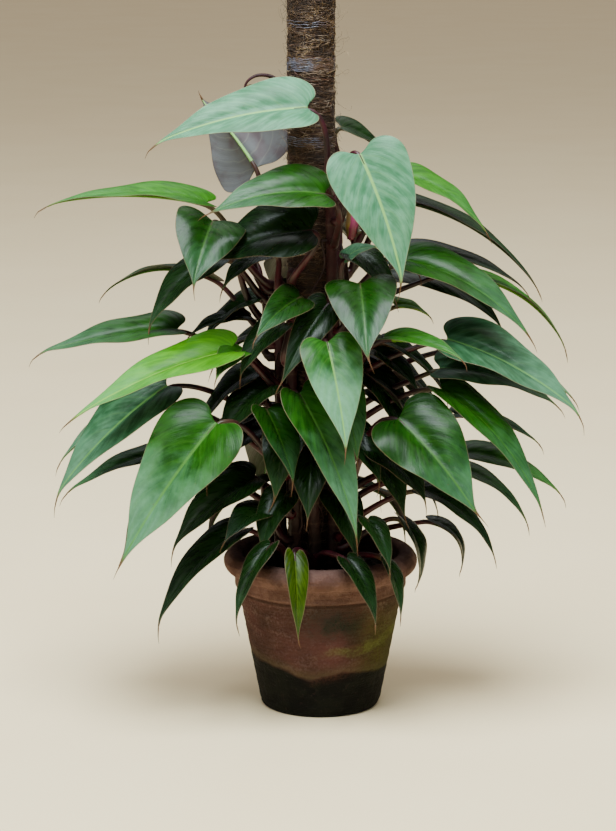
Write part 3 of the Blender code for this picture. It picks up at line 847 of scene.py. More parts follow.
@dataclass(frozen=True)
class Palette:
    """Colours of one kind of leaf, how much painted sheen it takes, and how glossy it is."""

    light: Colour
    dark: Colour
    rib: Colour
    under: Colour
    rib_show: float
    sheen: float
    gloss: float
    coat: float


class Tone(Enum):
    """How old and how brightly lit a leaf is."""

    BRIGHT = Palette(
        (0.09, 0.35, 0.003), (0.034, 0.175, 0.002), (0.28, 0.5, 0.06), (0.08, 0.15, 0.025),
        0.75, 0.35, 0.33, 0.03)
    FRESH = Palette(
        (0.026, 0.15, 0.0015), (0.009, 0.065, 0.001), (0.12, 0.28, 0.025), (0.045, 0.08, 0.02),
        0.6, 0.14, 0.31, 0.04)
    MID = Palette(
        (0.01, 0.068, 0.001), (0.0028, 0.022, 0.0006), (0.055, 0.175, 0.013), (0.026, 0.042, 0.018),
        0.45, 0.24, 0.26, 0.07)
    # The middle tone darkened: painted shade for leaves that hang under others
    DUSK = Palette(
        (0.006, 0.042, 0.001), (0.0018, 0.014, 0.0005), (0.045, 0.135, 0.012), (0.022, 0.03, 0.016),
        0.4, 0.16, 0.25, 0.07)
    OLIVE = Palette(
        (0.045, 0.088, 0.001), (0.007, 0.022, 0.0006), (0.12, 0.18, 0.015), (0.05, 0.06, 0.02),
        0.4, 0.05, 0.3, 0.05)
    # The middle tone with a strong painted sheen over the outer half of the blade
    HALF = Palette(
        (0.014, 0.086, 0.003), (0.004, 0.03, 0.001), (0.08, 0.23, 0.03), (0.04, 0.055, 0.03),
        0.55, 0.52, 0.26, 0.06)
    GLINT = Palette(
        (0.03, 0.15, 0.012), (0.008, 0.055, 0.004), (0.22, 0.45, 0.09), (0.05, 0.06, 0.05),
        0.7, 0.85, 0.27, 0.08)
    DEEP = Palette(
        (0.005, 0.024, 0.002), (0.0015, 0.008, 0.001), (0.022, 0.056, 0.01), (0.017, 0.017, 0.015),
        0.35, 0.06, 0.24, 0.1)
    SHEEN = Palette(
        (0.05, 0.15, 0.07), (0.008, 0.045, 0.012), (0.14, 0.32, 0.07), (0.04, 0.055, 0.03),
        0.6, 0.34, 0.28, 0.08)
    # Pale bluish green over darker green: a painted reflection of the sky on blades that face up
    SILVER = Palette(
        (0.118, 0.3, 0.176), (0.036, 0.145, 0.064), (0.25, 0.48, 0.12), (0.085, 0.086, 0.09),
        0.8, 0.16, 0.33, 0.05)

    @property
    def slot(self) -> str:
        """Name of the record's material slot."""
        plain = self if self in (Tone.BRIGHT, Tone.DEEP, Tone.SILVER) else Tone.MID
        return f"leaf_{plain.name.lower()}"


@dataclass(frozen=True)
class LeafSkin:
    """Skin of a leaf blade, with its veins, margin and dry tip, and a painted sheen that stands in for
    reflected sky.
    """

    tone: Tone
    veins: float = 7.0
    vein_sweep: float = 0.34
    margin: Colour = (0.31, 0.2, 0.13)
    dry: Colour = (0.105, 0.052, 0.024)
    # Pale bluish green of the painted sheen, standing in for reflected sky
    painted_sheen: Colour = (0.145, 0.34, 0.205)
    blush: Colour = (0.05, 0.018, 0.024)
    pale_vein: Colour = (0.19, 0.19, 0.15)

    def make(self) -> bpy.types.Material:
        """Build the material.

        Returns:
            The material.
        """
        palette = self.tone.value
        paint = Paint(f"leaf_skin_{self.tone.name.lower()}")
        across = abs(paint.attribute("across"))
        along = paint.attribute("along")
        under = paint.attribute("under")
        mood = paint.attribute("mood")
        off_rib = paint.attribute("off_rib")
        off_edge = paint.attribute("off_edge")
        place = paint.place()
        cloud = paint.spread(paint.noise(place, 34.0, 3.0), 0.3, 0.72)
        grain = paint.noise(place, 1100.0, 2.0)
        fan = paint.joined(across * 2.2, (along - across * self.vein_sweep) * 16.0, mood * 9.0)
        streak = paint.spread(paint.noise(fan, 1.4, 2.0), 0.28, 0.72)
        crease = paint.noise(paint.vector("MULTIPLY", fan, (1.0, 3.4, 1.0)), 2.2, 4.0)
        mottle = paint.noise(place, 210.0, 4.0)
        # The dark-to-light mix is partly the leaf's own uneven tone and partly painted sheen: streak lays
        # pale streaks along the veins.
        shade = cloud * 0.3 + streak * 0.34 + crease * 0.24 + mottle * 0.12 + (mood - 0.5) * 0.2
        body = paint.blend(paint.spread(shade, 0.16, 0.86), palette.dark, palette.light)
        # Painted sheen: by the palette's sheen, the blade is blended towards a pale bluish green from
        # partway along to its tip, standing in for reflected sky.
        painted_sheen = paint.spread(along + (cloud - 0.5) * 0.2, 0.35 - 0.33 * palette.sheen,
                            1.0 - 0.55 * palette.sheen) * palette.sheen
        body = paint.blend(painted_sheen * (0.75 + mottle * 0.5), body, self.painted_sheen)
        wobble = (paint.noise(place, 60.0, 1.0) - 0.5) * 0.05
        phase = ((along - (across ** 1.3) * self.vein_sweep + wobble) * self.veins).fraction()
        ridge = abs(phase - 0.5) * 2.0
        vein = paint.spread(ridge, 0.8, 1.0) * (1.0 - across * 0.75)
        between = paint.spread(ridge, 0.0, 0.75)
        body = paint.blend(vein * 0.13, body, palette.rib)
        body = paint.blend(between * 0.16, body, palette.light)
        band = 1.0 - paint.spread(off_rib, 0.012, 0.06 - along * 0.024)
        body = paint.blend(band * palette.rib_show, body, palette.rib)
        rim = 1.0 - paint.spread(off_edge, 0.03, 0.1)
        body = paint.blend(rim * (0.12 + 0.55 * palette.rib_show), body, self.margin)
        speck = paint.spread(paint.noise(place, 240.0, 2.0), 0.7, 0.78)
        body = paint.blend(speck * 0.35, body, self.dry)
        back = paint.blend(paint.spread(cloud, 0.2, 1.0) * 0.55 + rim * 0.4, palette.under, self.blush)
        back = paint.blend((vein * 0.5 + band).clamped() * 0.6, back, self.pale_vein)
        body = paint.blend(under, body, back)
        worn = paint.spread(along + (cloud - 0.5) * 0.04, 0.9, 0.965)
        body = paint.blend(worn, body, self.dry)
        rough = palette.gloss - 0.02 + grain * 0.05 + streak * 0.09 + under * 0.24 + worn * 0.25
        coarse = paint.bump(between * (1.0 - band) * 0.5 + crease * 0.6 + mottle * 0.15, 0.00045)
        normal = paint.bump(grain, 0.00008, coarse)
        return paint.done(body, rough, normal, Coat_Weight=palette.coat, Coat_Roughness=0.2,
                          Specular_IOR_Level=0.14)


@dataclass(frozen=True)
class StalkSkin:
    """Fleshy maroon skin of leaf stalks, greener towards the blade."""

    low: Colour = (0.014, 0.0034, 0.004)
    red: Colour = (0.062, 0.0052, 0.0125)
    green: Colour = (0.07, 0.062, 0.017)

    def make(self) -> bpy.types.Material:
        """Build the material.

        Returns:
            The material.
        """
        paint = Paint("skin_stalk")
        along = paint.attribute("along")
        mood = paint.attribute("mood")
        place = paint.place()
        cloud = paint.spread(paint.noise(place, 30.0, 3.0), 0.35, 0.68)
        lines = paint.noise(paint.vector("MULTIPLY", place, (1.0, 1.0, 0.12)), 900.0, 2.0)
        body = paint.blend(cloud, self.low, self.red)
        tender = paint.spread(along, -0.32, 0.02) * paint.spread(mood, 0.3, 0.9)
        body = paint.blend(tender * 0.85, body, self.green)
        body = paint.blend(lines * 0.25, body, self.low)
        return paint.done(body, 0.34 + lines * 0.14, paint.bump(lines, 0.00018), Coat_Weight=0.12,
                          Coat_Roughness=0.3, Specular_IOR_Level=0.32)


@dataclass(frozen=True)
class StemSkin:
    """Brown-maroon bark of the climbing stems, with pale scars at the nodes."""

    bark: Colour = (0.022, 0.0095, 0.0078)
    flesh: Colour = (0.042, 0.0045, 0.0105)
    scar: Colour = (0.07, 0.04, 0.026)

    def make(self) -> bpy.types.Material:
        """Build the material.

        Returns:
            The material.
        """
        paint = Paint("skin_stem")
        along = paint.attribute("along")
        ring = paint.attribute("ring")
        place = paint.place()
        cloud = paint.spread(paint.noise(place, 46.0, 4.0), 0.36, 0.66)
        fine = paint.noise(paint.vector("MULTIPLY", place, (1.0, 1.0, 0.25)), 700.0, 3.0)
        body = paint.blend((along + cloud * 0.5 - 0.2).clamped(), self.bark, self.flesh)
        body = paint.blend(paint.spread(ring, 0.55, 0.95) * 0.7, body, self.scar)
        body = paint.blend(fine * 0.35, body, (0.02, 0.01, 0.01))
        coarse = paint.bump(cloud, 0.001)
        return paint.done(body, 0.52 + fine * 0.2, paint.bump(fine, 0.0006, coarse),
                          Specular_IOR_Level=0.3)


@dataclass(frozen=True)
class ClaySkin:
    """Weathered terracotta with a pale collar, algae and a wet foot, and painted shade lower down and in
    the groove under the collar.
    """

    clay: Colour = (0.03, 0.015, 0.012)
    rose: Colour = (0.066, 0.024, 0.023)
    dusty: Colour = (0.12, 0.078, 0.068)
    bloom: Colour = (0.15, 0.082, 0.066)
    moss: Colour = (0.05, 0.06, 0.006)
    soot: Colour = (0.01, 0.014, 0.009)
    wet: Colour = (0.001, 0.0012, 0.0008)
    foot_height: float = 0.056
    collar_low: float = 0.16
    groove_low: float = 0.157
    soot_x: float = 0.022
    soot_z: float = 0.134

    def make(self) -> bpy.types.Material:
        """Build the material.

        Returns:
            The material.
        """
        paint = Paint("weathered_clay")
        place = paint.place()
        x, y, z = paint.parts(place)
        cloud = paint.spread(paint.noise(place, 16.0, 4.0), 0.34, 0.68)
        blotch = paint.spread(paint.noise(place, 46.0, 5.0), 0.42, 0.6)
        speckle = paint.spread(paint.noise(place, 330.0, 6.0), 0.38, 0.68)
        fine = paint.noise(place, 620.0, 4.0)
        turning = paint.noise(paint.vector("MULTIPLY", place, (0.1, 0.1, 1.0)), 300.0, 3.0)
        body = paint.blend(cloud, self.clay, self.rose)
        body = paint.blend(paint.spread(turning, 0.36, 0.64) * 0.26, body, (0.09, 0.042, 0.031))
        # Painted shade: below the collar the pale speckles thin out, so the pot darkens towards its foot
        low = paint.spread(z, 0.15, 0.09)
        body = paint.blend(speckle * (0.2 + blotch * 0.46) * (1.0 - low * 0.5), body, self.dusty)
        collar = paint.spread(z, self.collar_low - 0.01, self.collar_low + 0.004)
        body = paint.blend(collar * (0.35 + blotch * 0.3), body, self.bloom)
        # Painted shade: a dark line in the groove under the collar
        painted_groove_shade = 1.0 - paint.spread(abs(z - self.groove_low), 0.0006, 0.0028)
        body = paint.blend(painted_groove_shade * 0.75, body, (0.036, 0.018, 0.014))
        patch_x = paint.spread(abs(x - self.soot_x), 0.066, 0.016)
        patch_z = paint.spread(abs(z - self.soot_z), 0.036, 0.006)
        patch = patch_x * patch_z * paint.spread(y, 0.02, -0.02)
        body = paint.blend(patch * (0.3 + blotch * 0.35 + speckle * 0.35), body, self.soot)
        right = paint.spread(x, 0.03, 0.085) * paint.spread(z, 0.175, 0.105)
        body = paint.blend(right * (0.35 + cloud * 0.25 + speckle * 0.35), body, self.moss)
        streak_at = 0.086 + x * 0.2 + (paint.noise(place, 18.0, 2.0) - 0.5) * 0.03
        streak = (1.0 - paint.spread(abs(z - streak_at), 0.002, 0.011)) * paint.spread(x, -0.02, 0.055)
        body = paint.blend(streak * (0.12 + blotch * 0.3 + speckle * 0.25), body, (0.09, 0.108, 0.022))
        behind = paint.spread(y, 0.0, 0.08) * paint.spread(cloud, 0.3, 0.9)
        body = paint.blend(behind * 0.55, body, self.moss)
        edge = self.foot_height + (paint.noise(place, 15.0, 3.0) - 0.5) * 0.04 + x * 0.02
        edge = edge + paint.spread(x, -0.01, -0.085) * 0.018
        wet = paint.spread(z - edge, 0.0035, -0.0035)
        fringe = paint.spread(z - edge, 0.022, 0.0) * (1.0 - wet)
        body = paint.blend(fringe * 0.4, body, (0.06, 0.056, 0.026))
        rust = paint.spread(z - edge, -0.014, 0.0) * paint.spread(abs(x - 0.012), 0.04, 0.01)
        damp = paint.blend(blotch, self.wet, (0.0034, 0.004, 0.0022))
        damp = paint.blend(rust * (0.25 + speckle * 0.45), damp, (0.045, 0.016, 0.01))
        body = paint.blend(wet, body, damp)
        pits = paint.spread(paint.noise(place, 170.0, 3.0), 0.6, 0.72)
        body = paint.blend(pits * 0.25, body, (0.035, 0.018, 0.014))
        rough = 0.92 - wet * 0.22 + (fine - 0.5) * 0.08
        coarse = paint.bump(turning * 0.6 + blotch * 0.4, 0.002)
        normal = paint.bump(fine - pits * 0.6, 0.0009, coarse)
        return paint.done(body, rough, normal, Specular_IOR_Level=0.1)


@dataclass(frozen=True)
class EarthSkin:
    """Damp, nearly black potting soil; pale sets how light its crumbs are."""

    name: str
    dark: Colour
    pale: Colour

    def make(self) -> bpy.types.Material:
        """Build the material.

        Returns:
            The material.
        """
        paint = Paint(self.name)
        place = paint.place()
        lumps = paint.noise(place, 130.0, 4.0)
        fine = paint.noise(place, 900.0, 3.0)
        crumbs = paint.wire("ShaderNodeTexVoronoi", {}, {"Vector": place, "Scale": 260.0}, "Distance")
        body = paint.blend(paint.spread(lumps * 0.6 + fine * 0.4, 0.4, 0.66), self.dark, self.pale)
        coarse = paint.bump(lumps - crumbs * 0.4, 0.003)
        return paint.done(body, 0.8 + fine * 0.18, paint.bump(fine, 0.0008, coarse))


# Coir from its darkest to its palest hairs
BROWN_HAIR = ((0.0, (0.009, 0.005, 0.005)), (0.4, (0.052, 0.027, 0.018)),
              (0.7, (0.15, 0.082, 0.048)), (1.0, (0.45, 0.35, 0.26)))
GOLD_HAIR = ((0.0, (0.005, 0.0025, 0.0016)), (0.5, (0.034, 0.016, 0.0075)),
             (0.78, (0.125, 0.066, 0.026)), (1.0, (0.52, 0.36, 0.19)))
RUSSET_HAIR = ((0.0, (0.034, 0.014, 0.009)), (0.6, (0.114, 0.042, 0.023)), (1.0, (0.182, 0.084, 0.046)))


@dataclass(frozen=True)
class FibreSkin:
    """Coir: golden, brown and near-black hairs."""

    name: str
    stops: tuple[tuple[float, Colour], ...]
    rough: float = 0.62

    def make(self) -> bpy.types.Material:
        """Build the material.

        Returns:
            The material.
        """
        paint = Paint(self.name)
        shade = paint.attribute("shade")
        place = paint.place()
        cloud = paint.noise(place, 45.0, 3.0)
        fine = paint.noise(place, 1500.0, 2.0)
        body = paint.ramp((shade * 0.75 + paint.spread(cloud, 0.3, 0.7) * 0.25).clamped(), self.stops)
        body = paint.blend(fine * 0.35, body, (0.022, 0.012, 0.007))
        return paint.done(body, self.rough + fine * 0.2, paint.bump(fine, 0.0003))


@dataclass(frozen=True)
class TwineSkin:
    """Shiny blue-grey binding twine, twisted and a little dirty."""

    name: str = "binding_twine"
    pale: Colour = (0.17, 0.18, 0.26)
    dark: Colour = (0.026, 0.027, 0.044)

    def make(self) -> bpy.types.Material:
        """Build the material.

        Returns:
            The material.
        """
        paint = Paint(self.name)
        place = paint.place()
        twist = paint.noise(paint.vector("MULTIPLY", place, (1.0, 1.0, 2.6)), 620.0, 2.0)
        dirt = paint.spread(paint.noise(place, 85.0, 3.0), 0.44, 0.6)
        body = paint.blend(twist, self.dark, self.pale)
        x, _y, _z = paint.parts(place)
        worn = paint.spread(x + dirt * 0.008, POLE_X - 0.002, POLE_X + 0.02)
        body = paint.blend((dirt * 0.45 + worn * 0.65).clamped(), body, (0.085, 0.042, 0.026))
        return paint.done(body, 0.34 + dirt * 0.35, paint.bump(twist, 0.0004), Coat_Weight=0.2)


@dataclass(frozen=True)
class TimberSkin:
    """Sawn end and sides of the wooden core."""

    pale: Colour = (0.36, 0.25, 0.15)
    dark: Colour = (0.16, 0.1, 0.055)

    def make(self) -> bpy.types.Material:
        """Build the material.

        Returns:
            The material.
        """
        paint = Paint("core_timber")
        place = paint.place()
        centred = paint.wire("ShaderNodeMapping", {}, {"Vector": place, "Location": (-POLE_X, 0.0, 0.0)})
        x, y, _z = paint.parts(centred)
        radius = (x * x + y * y) ** 0.5
        drift = (paint.noise(place, 70.0, 2.0) - 0.5) * 0.004
        rings = abs(((radius + drift) * 620.0).fraction() - 0.5) * 2.0
        grain = paint.noise(paint.vector("MULTIPLY", place, (1.0, 1.0, 0.06)), 800.0, 3.0)
        body = paint.blend((rings * 0.5 + grain * 0.5).clamped(), self.dark, self.pale)
        return paint.done(body, 0.65 + grain * 0.2, paint.bump(grain, 0.0006))


@dataclass(frozen=True)
class ShootSkin:
    """New growth: a pink sheath round a rolled olive leaf."""

    pink: Colour = (0.66, 0.085, 0.3)
    olive: Colour = (0.19, 0.12, 0.02)
    wine: Colour = (0.18, 0.018, 0.04)

    def make(self) -> bpy.types.Material:
        """Build the material.

        Returns:
            The material.
        """
        paint = Paint("new_growth_skin")
        along = paint.attribute("along")
        sheath = paint.attribute("sheath")
        place = paint.place()
        lines = paint.noise(paint.vector("MULTIPLY", place, (1.0, 1.0, 0.1)), 700.0, 3.0)
        cloud = paint.spread(paint.noise(place, 60.0, 3.0), 0.35, 0.65)
        leaf = paint.blend(cloud, self.olive, (0.15, 0.1, 0.03))
        leaf = paint.blend(paint.spread(along, 0.75, 1.0), leaf, self.wine)
        wrap = paint.blend(paint.spread(along, 0.15, 0.75), self.wine, self.pink)
        body = paint.blend(sheath, leaf, wrap)
        body = paint.blend(lines * 0.22, body, self.wine)
        return paint.done(body, 0.36 + lines * 0.1, paint.bump(lines, 0.0003), Coat_Weight=0.3,
                          Coat_Roughness=0.25)


# ---- Leaves ----


@dataclass
class LeafCurve:
    """Where a leaf's stalk and midrib run."""

    root: np.ndarray
    foot: np.ndarray
    foot_pull: np.ndarray
    base_pull: np.ndarray
    base: np.ndarray
    middle: np.ndarray
    tip: np.ndarray
    face: np.ndarray
    half: float
    length: float

    def rib(self, along: np.ndarray) -> np.ndarray:
        """Points on the midrib; before the start it runs straight on.

        Args:
            along: places along it, 0 at the stalk and 1 at the tip.

        Returns:
            Points.
        """
        a = np.maximum(along, 0.0)[..., None]
        back = np.minimum(along, 0.0)[..., None]
        curve = (1 - a) ** 2 * self.base + 2 * (1 - a) * a * self.middle + a ** 2 * self.tip
        return curve + 2.0 * back * (self.middle - self.base)

    def heading(self, along: np.ndarray) -> np.ndarray:
        """Direction of the midrib."""
        a = np.maximum(along, 0.0)[..., None]
        return unit((1 - a) * (self.middle - self.base) + a * (self.tip - self.middle))

    def stalk(self, share: np.ndarray) -> np.ndarray:
        """Points on the stalk from its foot to the blade.

        Args:
            share: places along it, 0 to 1.

        Returns:
            Points.
        """
        s = share[..., None]
        rest = 1.0 - s
        low = rest ** 3 * self.foot + 3 * rest ** 2 * s * self.foot_pull
        return low + 3 * rest * s ** 2 * self.base_pull + s ** 3 * self.base


@dataclass
class LeafPlan:
    """One row of the leaf lists."""

    name: str
    start: tuple[float, float, float]
    end: tuple[float, float, float]
    width: float
    roll: float
    arch: float
    climb: float

    @classmethod
    def from_row(cls, kind: str, row: Sequence[Any]) -> "LeafPlan":
        """Read a row: number, three values for the start, three for the tip, then four more."""
        return cls(*named(kind, row[0]), tuple(row[1:4]), tuple(row[4:7]), *row[7:11])

    def curve(self, swing: float = 0, lift: float = 0, slide: float = 0, push: float = 0) -> LeafCurve:
        """Work out the stalk and midrib after a move.

        Args:
            swing: degrees round the pole.
            lift: millimetres up.
            slide: millimetres along the stem.
            push: millimetres outwards.

        Returns:
            The curve.
        """
        base = polar(self.start[0] + swing, self.start[1] + push, self.start[2] + lift)
        tip = polar(self.end[0] + swing, self.end[1] + push, self.end[2] + lift)
        length = (tip - base).length
        chord = (tip - base).normalized()
        face = (UP - UP.dot(chord) * chord).normalized()
        middle = (base + tip) * 0.5 + face * (2.0 * self.arch * length)
        face = Matrix.Rotation(math.radians(self.roll), 3, chord) @ face
        foot_height = max(LOWEST_FOOT, (self.start[2] + lift - self.climb + slide) * MM)
        index = nearest_stem(self.start[0] + swing, foot_height)
        foot_height = min(foot_height, STEMS[index][2] - LOWEST_FOOT)
        centre = stem_point(index, foot_height)
        towards = Vector((base.x - centre.x, base.y - centre.y, 0.0)).normalized()
        angle = stem_angle(index, foot_height)
        radial = Vector((math.cos(angle), math.sin(angle), 0.0))
        out = (LEAVE_RADIAL * radial + LEAVE_TOWARDS * towards).normalized()
        foot = centre + out * (STEM_RADIUS + GAP + STALK_RADIUS * 0.9)
        heading = Vector((chord.x, chord.y, 0.0))
        start = (middle - base).normalized()
        arrive = (ARRIVE_UP * UP + ARRIVE_OUT * heading + ARRIVE_ALONG * start).normalized()
        span = (base - foot).length
        foot_pull = foot + (LEAVE_TOWARDS * out + LEAVE_RADIAL * UP) * (FOOT_PULL * span)
        base_pull = base - arrive * (BASE_PULL * span)
        places = [centre, foot, foot_pull, base_pull, base, middle, tip, face]
        return LeafCurve(*[np.array(place) for place in places], self.width * MM * 0.5, length)

    def settled(self, corners: np.ndarray) -> LeafCurve:
        """Find the move that this leaf's body took in the frame.

        Args:
            corners: the body's own points.

        Returns:
            The curve after that move.
        """
        best = self.curve()
        best_error = math.inf
        for swing, lift, slide, push in itertools.product(SWINGS, LIFTS, SLIDES, PUSHES):
            curve = self.curve(swing, lift, slide, push)
            error = abs(np.linalg.norm(corners - curve.tip, axis=1).min() - TIP_GAP)
            if error > TIP_MISS:
                continue
            near = np.sort(np.unique(np.linalg.norm(corners - curve.foot, axis=1).round(7)))
            error += abs(float(near[0]) - STALK_RADIUS)
            if error < best_error:
                best, best_error = curve, error
            if error < GOOD_MATCH:
                break
        if best_error > POOR_MATCH:
            LOG.warning("%s: its body is %.2f mm from the nearest plan", self.name, best_error / MM)
        return best


@dataclass
class Leaf:
    """One leaf: a thin folded blade with a raised midrib, on its stalk."""

    name: str
    curve: LeafCurve
    tone: Tone
    fold: float = 14.0
    thickness: float = 0.0009
    hook_size: float = 0.035
    hook_from: float = 0.86
    hook_drop: float = 0.6
    quilting: float = 0.13
    edge_thinning: float = 0.55
    edge_scale: float = 100.0
    rib_radius: float = 0.0021
    rib_end: float = 0.00035
    row_steps: int = 6
    columns: int = 9
    stalk_steps: int = 22
    sides: int = 9

    def __post_init__(self) -> None:
        """Draw this leaf's own small irregularities from its name."""
        dice = random.Random(self.name)
        self.mood = dice.random()
        self.phase = (dice.random(), dice.random())
        self.wave = dice.uniform(0.02, 0.055)
        self.curl = dice.uniform(-1.0, 1.0)
        self.twist = math.radians(dice.uniform(-7.0, 7.0))

    def frame_at(self, along: np.ndarray) -> tuple[np.ndarray, np.ndarray, np.ndarray]:
        """Spots on the midrib with the blade's upward and sideways directions there.

        Args:
            along: places along the midrib.

        Returns:
            Spots, tops and sides.
        """
        heading = self.curve.heading(along)
        face = self.curve.face
        top = unit(face - (heading @ face)[..., None] * heading)
        side = np.cross(heading, top)
        turn = (self.twist * np.maximum(along, 0.0))[..., None]
        turned_top = top * np.cos(turn) + side * np.sin(turn)
        return self.curve.rib(along), turned_top, np.cross(heading, turned_top)

    def hook(self, places: np.ndarray) -> np.ndarray:
        """Return how far the end of the midrib curls aside at places along it."""
        end = np.maximum(places - self.hook_from, 0.0) / (1.0 - self.hook_from)
        return self.hook_size * self.curve.length * end ** 2

    def marks(self, along: np.ndarray, across: float, off_rib: float,
              off_edge: float) -> dict[str, np.ndarray]:
        """Numbers that a tube needs to wear the blade's skin."""
        same = {"across": across, "off_rib": off_rib, "off_edge": off_edge, "under": 0.0, "mood": self.mood}
        return {"along": along} | {key: np.full(len(along), value) for key, value in same.items()}

    def blade(self) -> Shell:
        """Build the blade as a closed thin shell.

        Returns:
            The blade.
        """
        rows = catmull(OUTLINE, self.row_steps)
        t, edge, share = rows[:, 0][:, None], rows[:, 1][:, None], np.maximum(rows[:, 2], 0.012)[:, None]
        u = np.sin(np.linspace(-1.0, 1.0, 2 * self.columns + 1) * math.pi / 2.0)[None, :]
        a = np.abs(u)
        along = t + (edge - t) * a ** 1.5
        half = self.curve.half
        reach = half * share * a
        spot, top, side = self.frame_at(along)
        fold = math.radians(self.fold)
        quilt = self.quilting * half * share * np.sin(math.pi * a ** 0.8)
        quilt = quilt * (0.4 + 0.6 * np.sin(math.pi * np.sqrt(t)))
        phase = np.where(u < 0.0, self.phase[0], self.phase[1])
        ripple = self.wave * half * a ** 2 * np.sin(2.0 * math.pi * (2.3 * t + phase)) * np.sqrt(share)
        hook = self.hook(t)
        across = u * half * share * math.cos(fold) + hook * self.curl
        lift = reach * math.sin(fold) + quilt + ripple - hook * self.hook_drop
        grid = spot + side * across[..., None] + top * lift[..., None]
        grow_rows = np.gradient(grid, axis=0)
        grow_columns = np.gradient(grid, axis=1)
        normal = unit(np.cross(grow_rows, grow_columns))
        normal = normal * np.sign((normal * top).sum(-1, keepdims=True))
        depth = (0.5 * self.thickness * (1.0 - self.edge_thinning * a ** 3) * np.ones_like(t))[..., None]
        points = np.vstack([(grid + normal * depth).reshape(-1, 3), (grid - normal * depth).reshape(-1, 3)])
        n, m = grid.shape[:2]
        size = n * m
        faces: list[tuple[int, ...]] = []
        for i, j in itertools.product(range(n - 1), range(m - 1)):
            k = i * m + j
            faces.append((k, k + 1, k + m + 1, k + m))
            faces.append((size + k, size + k + m, size + k + m + 1, size + k + 1))
        rim = list(range(m)) + [i * m + m - 1 for i in range(1, n)]
        rim += [(n - 1) * m + j for j in range(m - 2, -1, -1)] + [i * m for i in range(n - 2, 0, -1)]
        for first, second in zip(rim, rim[1:] + rim[:1]):
            faces.append((first, size + first, size + second, second))
        flat = np.ones_like(along)
        marks = {"across": u, "along": along, "off_rib": reach / half,
                 "off_edge": (half * share - reach) * self.edge_scale}
        marks = {key: np.tile((value * flat).ravel(), 2) for key, value in marks.items()}
        marks["under"] = np.concatenate([np.zeros(size), np.ones(size)])
        marks["mood"] = np.full(2 * size, self.mood)
        return Shell(points, faces, marks, [0] * len(faces))

    def drip_tip(self) -> Shell:
        """Build the dry thread that hangs from the blade's point.

        Returns:
            The thread.
        """
        ends = np.array([0.955, 1.0])
        spot, top, side = self.frame_at(ends)
        hook = self.hook(ends)[:, None]
        root, start = spot + side * hook * self.curl - top * hook * self.hook_drop
        ahead = (start - root) / np.linalg.norm(start - root)
        share = np.linspace(0.0, 1.0, 9)[:, None]
        drop = self.curve.half * 0.13 + 0.0025
        sweep = ahead * drop * share + side[1] * self.curl * drop * 0.45 * share ** 2
        sweep = sweep - np.array([0.0, 0.0, 0.55 * drop]) * share ** 2
        path = np.vstack([root[None], start + sweep])
        radii = np.concatenate([[0.0009], 0.00075 * (1.0 - 0.75 * share[:, 0])])
        return tube(path, radii, 5, self.marks(np.ones(len(path)), 0.9, 0.5, 0.0), 0)

    def stalk_and_rib(self) -> Shell:
        """Build the stalk from inside the stem to the blade, and on as the midrib.

        Returns:
            The tube.
        """
        share = np.linspace(0.0, 1.0, self.stalk_steps)
        stalk = self.curve.stalk(share)
        stalk_radius = STALK_RADIUS * (1.0 + (STALK_TIP_SHARE - 1.0) * share)
        swelling = 1.0 + 0.35 * np.exp(-share * 14.0) + 0.16 * np.exp(-(1 - share) * 16.0)
        stalk_radius = stalk_radius * swelling
        path = np.vstack([self.curve.root[None], stalk])
        radii = np.concatenate([[STALK_RADIUS], stalk_radius])
        along = np.concatenate([[-1.05], share - 1.0])
        places = np.linspace(0.03, 0.95, 20)
        spot, top, side = self.frame_at(places)
        rib_radius = self.rib_radius * (1.0 - places) ** 0.75 + self.rib_end
        hook = self.hook(places)[:, None]
        rib = spot - top * (0.55 * rib_radius[:, None] + self.hook_drop * hook) + side * hook * self.curl
        path = np.vstack([path, rib])
        radii = np.concatenate([radii, rib_radius])
        along = np.concatenate([along, places])
        joint = self.stalk_steps
        for _, i, row in itertools.product(range(3), range(joint - 3, joint + 3), (path, radii)):
            row[i] = 0.25 * row[i - 1] + 0.5 * row[i] + 0.25 * row[i + 1]
        shell = tube(path, radii, self.sides, self.marks(along, 0.0, 0.0, 9.0), 1)
        first_rib_face = 2 + (joint + 2) * self.sides
        shell.skins = [1] * first_rib_face + [0] * (len(shell.faces) - first_rib_face)
        shell.skins[1] = 0
        return shell

    def build(self, skins: dict[Tone, bpy.types.Material], stalk: bpy.types.Material) -> bpy.types.Object:
        """Build the whole leaf as one object."""
        shell = self.blade().joined(self.stalk_and_rib()).joined(self.drip_tip())
        return raw_object(self.name, shell, [skins[self.tone], stalk])


def named(kind: str, *numbers: int) -> tuple[str, ...]:
    """Return the names of the leaves of one kind that have these numbers."""
    return tuple(f"{kind}_{number:02d}" for number in numbers)


